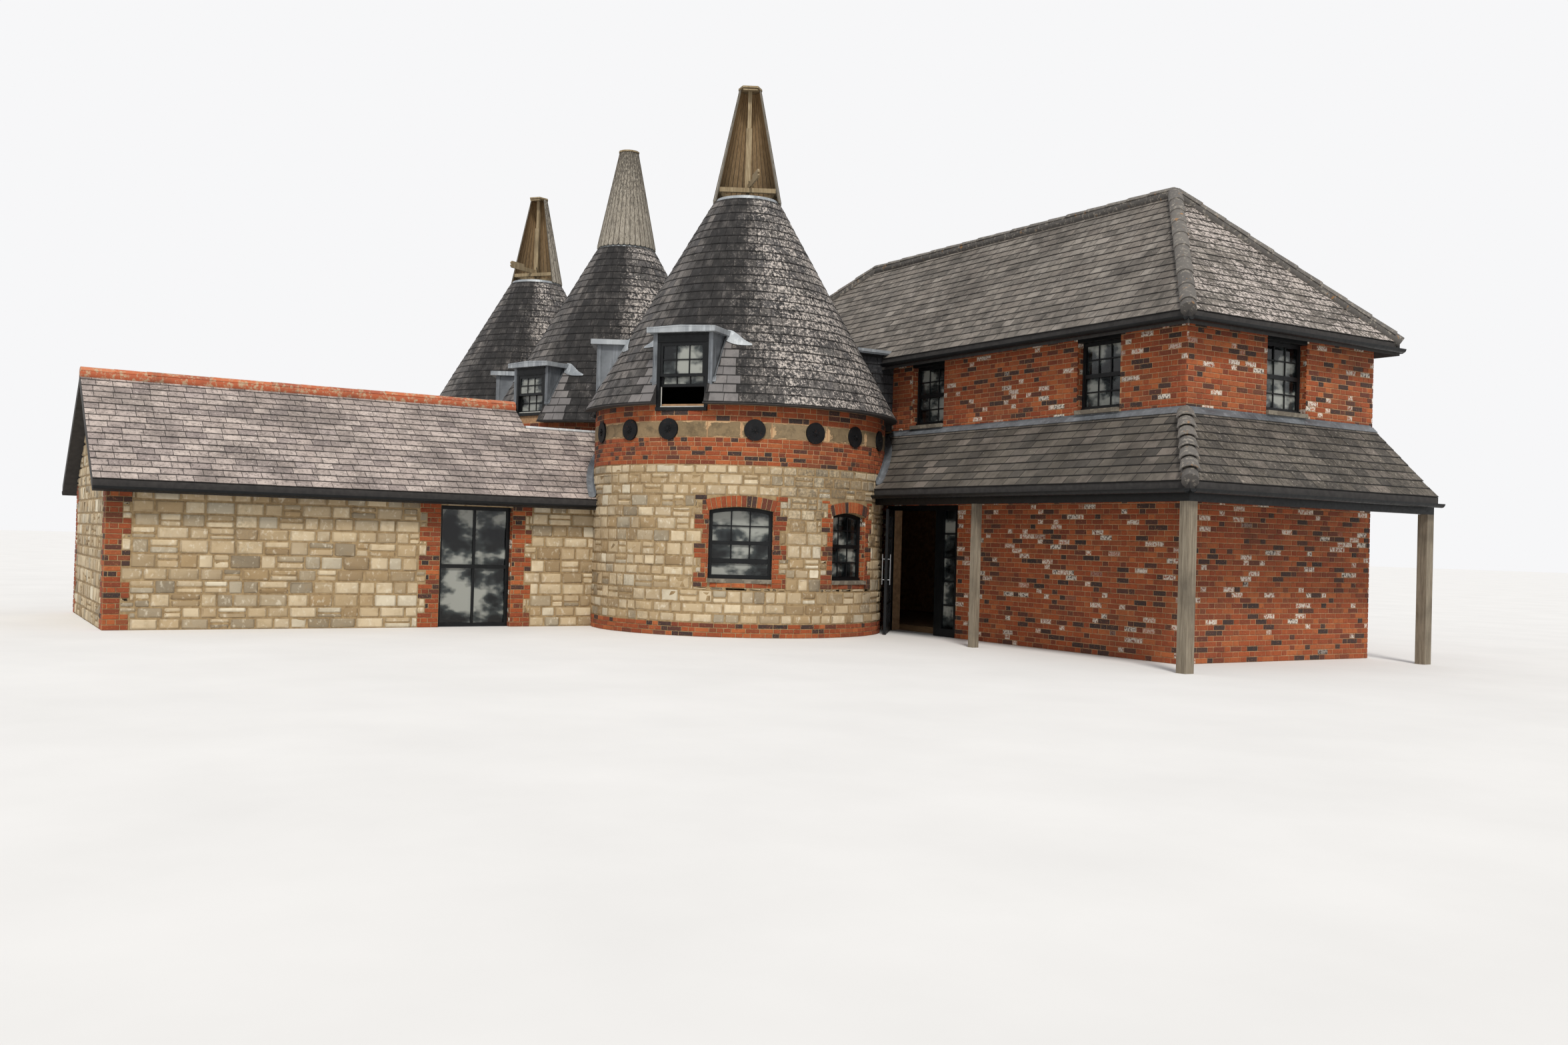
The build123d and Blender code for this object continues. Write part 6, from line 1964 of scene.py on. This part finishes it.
def board_gap_share(x, opening):
    """Dark lines where two boards of a cowl meet, counted round its axis from its back."""
    own = ways(at(), (x, 0, 0), "SUBTRACT", "Vector")
    back_x, back_y = heading(opening + 180)
    turn = sums(ways(own, (-back_y, back_x, 0)), ways(own, (back_x, back_y, 0)), "ARCTAN2")
    boards = sums(sums(turn, 1 / radians(BOARD_TURN), "MULTIPLY"), COWL_BOARDS)
    return between(from_middle(fraction(boards)), 0.8, 0.9, 0, 0.8)


def cowl_timber(name, x, opening):
    """Weathered boards: outside grey and streaked, inside brown, sawn edges pale."""
    finish = new_finish(name, 0.85)
    grain = noise(at((16, 16, 0.9)), 3, 6, 0.7)
    height = node("SeparateXYZ", {"Vector": at()}).outputs["Z"]
    outside = even_ramp(grain, [(112, 104, 92), (150, 142, 128), (186, 178, 164)], 0.3, 0.7)
    spots = noise(at((30, 30, 9)), 1.6, 5, 0.75)
    upper = between(height, COWL_BASE + 0.4, COWL_TOP, 0.0, 0.13)
    lichen = between(sums(spots, upper), 0.57, 0.62, 0, 0.85)
    outside = over(lichen, outside, chart(58, 54, 48))
    runs = noise(at((9, 9, 0.5)), 2, 4, 0.6)
    outside = stain(outside, runs, 0.52, 0.66, 0.5, chart(84, 78, 70))
    inside = even_ramp(grain, [(104, 86, 60), (140, 118, 88), (168, 144, 110)], 0.3, 0.7)
    inside = over(between(height, COWL_BASE, COWL_TOP, 0, 0.35), inside, chart(164, 126, 76))
    sawn = even_ramp(grain, [(166, 158, 140), (204, 198, 184)], 0.3, 0.7)
    looks = looks_outwards(x)
    tint = over(between(looks, -0.5, -0.2), inside, sawn)
    tint = over(between(looks, 0.3, 0.6), tint, outside)
    tint = over(board_gap_share(x, opening), tint, BOARD_GAP)
    return set_surface(finish, tint, grain, 0.004)


for number, (x, opening) in enumerate(zip(KILN_X, COWL_OPENINGS), 1):
    paint(cowl_timber(f"cowl_{number}_timber", x, opening), f"cowl_{number}_boards")
pale_timber = timber_finish(
    "cowl_frame_timber", [(112, 96, 70), (146, 128, 98), (172, 156, 126)], (12, 12, 1.0))
dark_timber = timber_finish(
    "cowl_batten_timber", [(62, 56, 48), (92, 84, 74), (170, 162, 148)], (16, 16, 1.2))
paint(pale_timber, "cowl_1_frame", "cowl_2_frame", "cowl_3_frame")
print("cowls", round(COWL_TOP - COWL_BASE, 2), "m high")

# %% [markdown]
# Small parts complete each cowl: raised battens where its boards meet, a lintel board under
# the cap, and at the foot of the post two iron straps with a round stay. Each is a bar
# between two points, which is easier to place than a box that has to be turned by angles.

# %% Bars between two points
def kiln_point(number, direction, radius, height):
    """Point at a direction and radius from a kiln's axis."""
    ahead_x, ahead_y = heading(direction)
    return Vector((KILN_X[number - 1] + radius * ahead_x, radius * ahead_y, height))


def cylinder(name, sides, radius, depth, place, turn):
    """A cylinder added at its size, place and turn."""
    bpy.ops.object.select_all(action="DESELECT")
    bpy.ops.mesh.primitive_cylinder_add(
        vertices=sides, radius=radius, depth=depth, location=place, rotation=turn)
    return added(name)


def strut(name, start, end, thick, wide=None, sides=0):
    """Straight bar between two points: square, or round with a number of sides."""
    start, end = Vector(start), Vector(end)
    run = end - start
    turn = run.to_track_quat("Z", "Y").to_euler()
    if sides:
        return cylinder(name, sides, thick / 2, run.length, (start + end) / 2, turn)
    made = block(name, (wide or thick, thick, run.length), (start + end) / 2, turn)
    edit(made, "EDGE")
    bpy.ops.mesh.select_all(action="SELECT")
    bpy.ops.mesh.bevel(offset=min(thick, wide or thick) * 0.12, segments=1, affect="EDGES")
    done()
    return made


# %% Small parts of the cowls
BATTEN = 0.012
LINTEL_REACH, LINTEL_DROP, LINTEL_HALF = 0.165, 0.032, 0.12
LINTEL_THICK, LINTEL_WIDE = 0.022, 0.055
STRAP_HEIGHT = 0.262


def cowl_battens(number, opening):
    """Battens over the joints of a cowl's boards."""
    pieces = []
    for step in range(1, COWL_BOARDS):
        direction = opening + 180 + (step - COWL_BOARDS // 2) * BOARD_TURN
        low = kiln_point(number, direction, COWL_RADIUS - 0.004, COWL_BASE + 0.03)
        high = kiln_point(number, direction, COWL_TOP_RADIUS + 0.002, COWL_TOP - 0.004)
        pieces.append(strut("batten", low, high, BATTEN))
    return join(f"cowl_{number}_battens", pieces)


def cowl_irons(number, foot, ahead, aside):
    """Two straps and a stay at the foot of a cowl's post."""
    pieces = []
    for side in (-1, 1):
        strap = foot + aside * (side * 0.04) + ahead * 0.033
        pieces.append(strut("strap", strap - Vector((0, 0, 0.025)), strap + Vector((0, 0, 0.045)), 0.008))
    pieces.append(strut("stay", foot + ahead * 0.07 + aside * 0.06 - Vector((0, 0, 0.02)),
                        foot + ahead * 0.068 + aside * 0.02 + Vector((0, 0, 0.12)), 0.012, sides=8))
    return join(f"cowl_{number}_irons", pieces)


for number, opening in enumerate(COWL_OPENINGS, 1):
    body = f"cowl_{number}"
    dress(cowl_battens(number, opening), dark_timber, body)
    ahead_x, ahead_y = heading(opening)
    ahead, aside = Vector((ahead_x, ahead_y, 0)), Vector((-ahead_y, ahead_x, 0))
    axis = Vector((KILN_X[number - 1], 0, 0))
    middle = axis + ahead * LINTEL_REACH + Vector((0, 0, COWL_TOP - LINTEL_DROP))
    lintel = strut(f"cowl_{number}_lintel", middle - aside * LINTEL_HALF, middle + aside * LINTEL_HALF,
                   LINTEL_THICK, LINTEL_WIDE)
    dress(lintel, pale_timber, body)
    irons = cowl_irons(number, axis + Vector((0, 0, COWL_BASE + STRAP_HEIGHT)), ahead, aside)
    dress(irons, iron, body)

# %% [markdown]
# Iron plates on the band are tied through the kilns by rods. The rod ends in a nut on a
# raised star, cast in one with the plate, and both are a little rusty. The star is a disc
# whose rim points are drawn in and out, and the nut is a cylinder with six sides whose
# front edge is bevelled.

# %% Stars and nuts on the plates
# kiln number: directions of its plates in degrees
PLATES = {1: (-96.0, -75.0, -57.0, -25.0, -2.0, 17.5, 37.5),
          3: (-95.0, -115.0, -135.0, -155.0, -175.0, 165.0, 145.0)}
PLATE_HEIGHT = EAVE - 0.395
PLATE_FACE = KILN_RADIUS + 0.0303
PLATE_RADIUS = 0.165
STAR_RADIUS, STAR_WAIST, STAR_POINTS = 0.062, 0.45, 8
NUT_RADIUS = 0.021


def disc_at(name, number, direction, sides, radius, depth, out):
    """Short cylinder whose axis points away from a kiln, on the face of a plate."""
    place = kiln_point(number, direction, PLATE_FACE + out + depth / 2, PLATE_HEIGHT)
    return cylinder(name, sides, radius, depth, place, (0, pi / 2, radians(direction)))


def plate_rim(number, direction, facing):
    """Raised rim round a plate: a disc whose middle is pushed back."""
    rim = disc_at("rim", number, direction, 32, PLATE_RADIUS - 0.004, 0.003, -0.0025)
    edit(rim, "FACE")
    pick(rim, lambda face: face.normal.dot(facing) > 0.9, "FACE")
    bpy.ops.mesh.inset(thickness=0.018)
    bpy.ops.transform.translate(value=facing * -0.0022)
    done()
    return rim


def plate_star(number, direction, facing, middle):
    """Star whose every second rim point is drawn in towards the middle."""
    star = disc_at("star", number, direction, 2 * STAR_POINTS, STAR_RADIUS, 0.012, -0.002)
    aside = Vector((-facing.y, facing.x, 0))
    for vertex in star.data.vertices:
        away = vertex.co - middle
        depth = facing * away.dot(facing)
        spoke = round(np.degrees(atan2(away.z, (away - depth).dot(aside))) / (180 / STAR_POINTS))
        vertex.co = middle + depth + (away - depth) * (1.0 if spoke % 2 else STAR_WAIST)
    return star


def plate_nut(number, direction, facing, middle):
    """Six-sided nut with a bevelled front."""
    nut = disc_at("nut", number, direction, 6, NUT_RADIUS, 0.02, 0.008)

    def is_rim(edge):
        return all(len(v.link_edges) == 3 and (v.co - middle).dot(facing) > 0.02 for v in edge.verts)
    edit(nut, "EDGE")
    pick(nut, is_rim, "EDGE")
    bpy.ops.mesh.bevel(offset=0.004, segments=1, affect="EDGES")
    done()
    return nut


bosses = []
for number, directions in PLATES.items():
    for direction in directions:
        facing = Vector((*heading(direction), 0))
        middle = Vector((KILN_X[number - 1], 0, PLATE_HEIGHT)) + facing * PLATE_FACE
        bosses += [plate_rim(number, direction, facing), plate_star(number, direction, facing, middle),
                   plate_nut(number, direction, facing, middle)]
dress(join("plate_bosses", bosses), iron)

# %% [markdown]
# The entrance leaf is opened by a long steel pull on each face, held off the timber by two
# short stand-offs. Both are round bars with few sides, which is enough at their size.

# %% Door pulls
steel = new_finish("brushed_steel", 0.32, 0.9)
steel_grain = noise(at((1, 1, 30)), 20, 3)
steel_tint = even_ramp(steel_grain, [(150, 152, 154), (184, 186, 188)], 0.3, 0.7)
set_surface(steel, steel_tint, steel_grain, 0.0005)
PULL_FOOT, PULL_TOP, PULL_OFF = 0.82, 1.32, 0.042
PULL_THICK, STAND_OFF_THICK = 0.022, 0.014
STAND_OFFS = (0.90, 1.24)

pulls = []
for side, depth in ((-1, HINGE_BARREL), (1, HINGE_BARREL + LEAF_THICKNESS)):
    foot = hinge + leaf_along * (LEAF_CLEARANCE + LEAF_WIDTH - LEAF_STILE / 2)
    foot = foot + leaf_in * (depth + side * PULL_OFF)
    low, high = foot + Vector((0, 0, PULL_FOOT)), foot + Vector((0, 0, PULL_TOP))
    pulls.append(strut("pull", low, high, PULL_THICK, sides=12))
    for height in STAND_OFFS:
        post_end = foot + Vector((0, 0, height))
        inner_end = post_end - leaf_in * (side * PULL_OFF)
        pulls.append(strut("stand_off", post_end, inner_end, STAND_OFF_THICK, sides=10))
dress(join("entrance_pulls", pulls), steel, "entrance_door")

# %% [markdown]
# Where a flat roof runs into a round wall, the gap is closed by a curved gutter of lead. It
# is bent from a flat sheet: one wing stands up against the bricks, the other lies on the
# slates, and the fold follows the curve where the roof's plane cuts the wall.

# %% Lead round the first kiln
# fold: metres off the wall and up from the roof, from the wing on the wall to the other
FOLD = ((0.016, 0.11), (0.018, 0.05), (0.03, 0.022), (0.065, 0.0), (0.13, 0.0))
FOLD_LIFT = 0.024


def lead_fold(name, spots):
    """Folded sheet along points on a wall. A spot is (point, way off the wall, way up the roof)."""
    sheet = sheet_grid(name, len(spots) - 1)
    for vertex in sheet.data.vertices:
        point, outwards, slope = spots[round((vertex.co.x + 0.5) * (len(spots) - 1))]
        off, up = FOLD[round((vertex.co.y + 0.5) * 4)]
        vertex.co = point + outwards * off + Vector((0, 0, up + FOLD_LIFT + slope * off))
    return thicken(sheet, 0.005)


def fold_spots(directions, height_at):
    """Points round the first kiln at the height of a roof."""
    spots = []
    for direction in directions:
        outwards = Vector((*heading(direction), 0))
        point = outwards * KILN_RADIUS
        point.z = height_at(point)
        ahead_of = point + outwards * 0.1
        spots.append((point, outwards, (height_at(ahead_of) - point.z) / 0.1))
    return spots


wing_fall = (WING_RIDGE - WING_EAVE) / (WING_EAVE_X - WING_RIDGE_X)
lean_fall = (LEAN_TOP - LEAN_EAVE) / (FRONT - LEAN_Y)


def wing_height(point):
    """Height of the wing's front slope at a point."""
    return WING_EAVE + (WING_EAVE_X - point.x) * wing_fall


def lean_height(point):
    """Height of the lean-to's front slope at a point."""
    return LEAN_EAVE + (point.y - LEAN_Y) * lean_fall


wing_start = -np.degrees(acos(max((WING_EAVE_X - 0.02) / KILN_RADIUS, -1)))
wing_end = -np.degrees(acos(max(VALLEY_X / KILN_RADIUS, -1)))
lean_start = np.degrees(asin((LEAN_Y + 0.03) / KILN_RADIUS))
lean_end = np.degrees(asin(min((FRONT - 0.12) / KILN_RADIUS, 1)))
folds = [lead_fold("wing_fold", fold_spots(np.linspace(wing_start, wing_end, 15), wing_height)),
         lead_fold("lean_fold", fold_spots(np.linspace(lean_start, lean_end, 13), lean_height))]
dress(join("kiln_1_folds", folds), lead)

# %% [markdown]
# Along its top the lean-to is closed by a strip of lead, laid in sheets of about a metre
# and a half whose ends lap. Each is a thin slab on the plane of the slates, and every
# second one lies a little higher, so that the laps show.

# %% Lead apron at the head of the lean-to
APRON, APRON_SHEET, APRON_END_LAP = 0.115, 1.5, 0.02


def apron_cells(length, rise):
    """Sheets of lead, a metre and a half long, whose ends lap."""
    edges = np.linspace(0, length, round(length / APRON_SHEET) + 1)
    return [(a, b + APRON_END_LAP * (b < length - 0.1), rise - APRON, rise - 0.004,
             0.026 + 0.003 * (number % 2), rng.random())
            for number, (a, b) in enumerate(zip(edges[:-1], edges[1:]))]


aprons = []
for low_left, low_right, high_left, high_right in (
        ((LINK_HALF, LEAN_Y, LEAN_EAVE), lean_corner, (LINK_HALF, FRONT, LEAN_TOP), lean_top),
        (lean_corner, (LEAN_X, BACK, LEAN_EAVE), lean_top, (NEAR_END, BACK, LEAN_TOP))):
    start, along, up, _, rise = slope_frame(low_left, low_right, high_left)
    first = (Vector(high_left) - start).dot(along)
    length = (Vector(high_right) - Vector(high_left)).length
    place = on_plane(start + along * first, along, up)
    aprons.append(lay("lead_apron", slate, apron_cells(length, rise), place))
dress(join("lean_to_apron", aprons), lead)

# %% Put the units away
for unit in units:
    bpy.data.objects.remove(unit)
print("added", len(dressed), "pieces and", sum(dressed), "triangles")
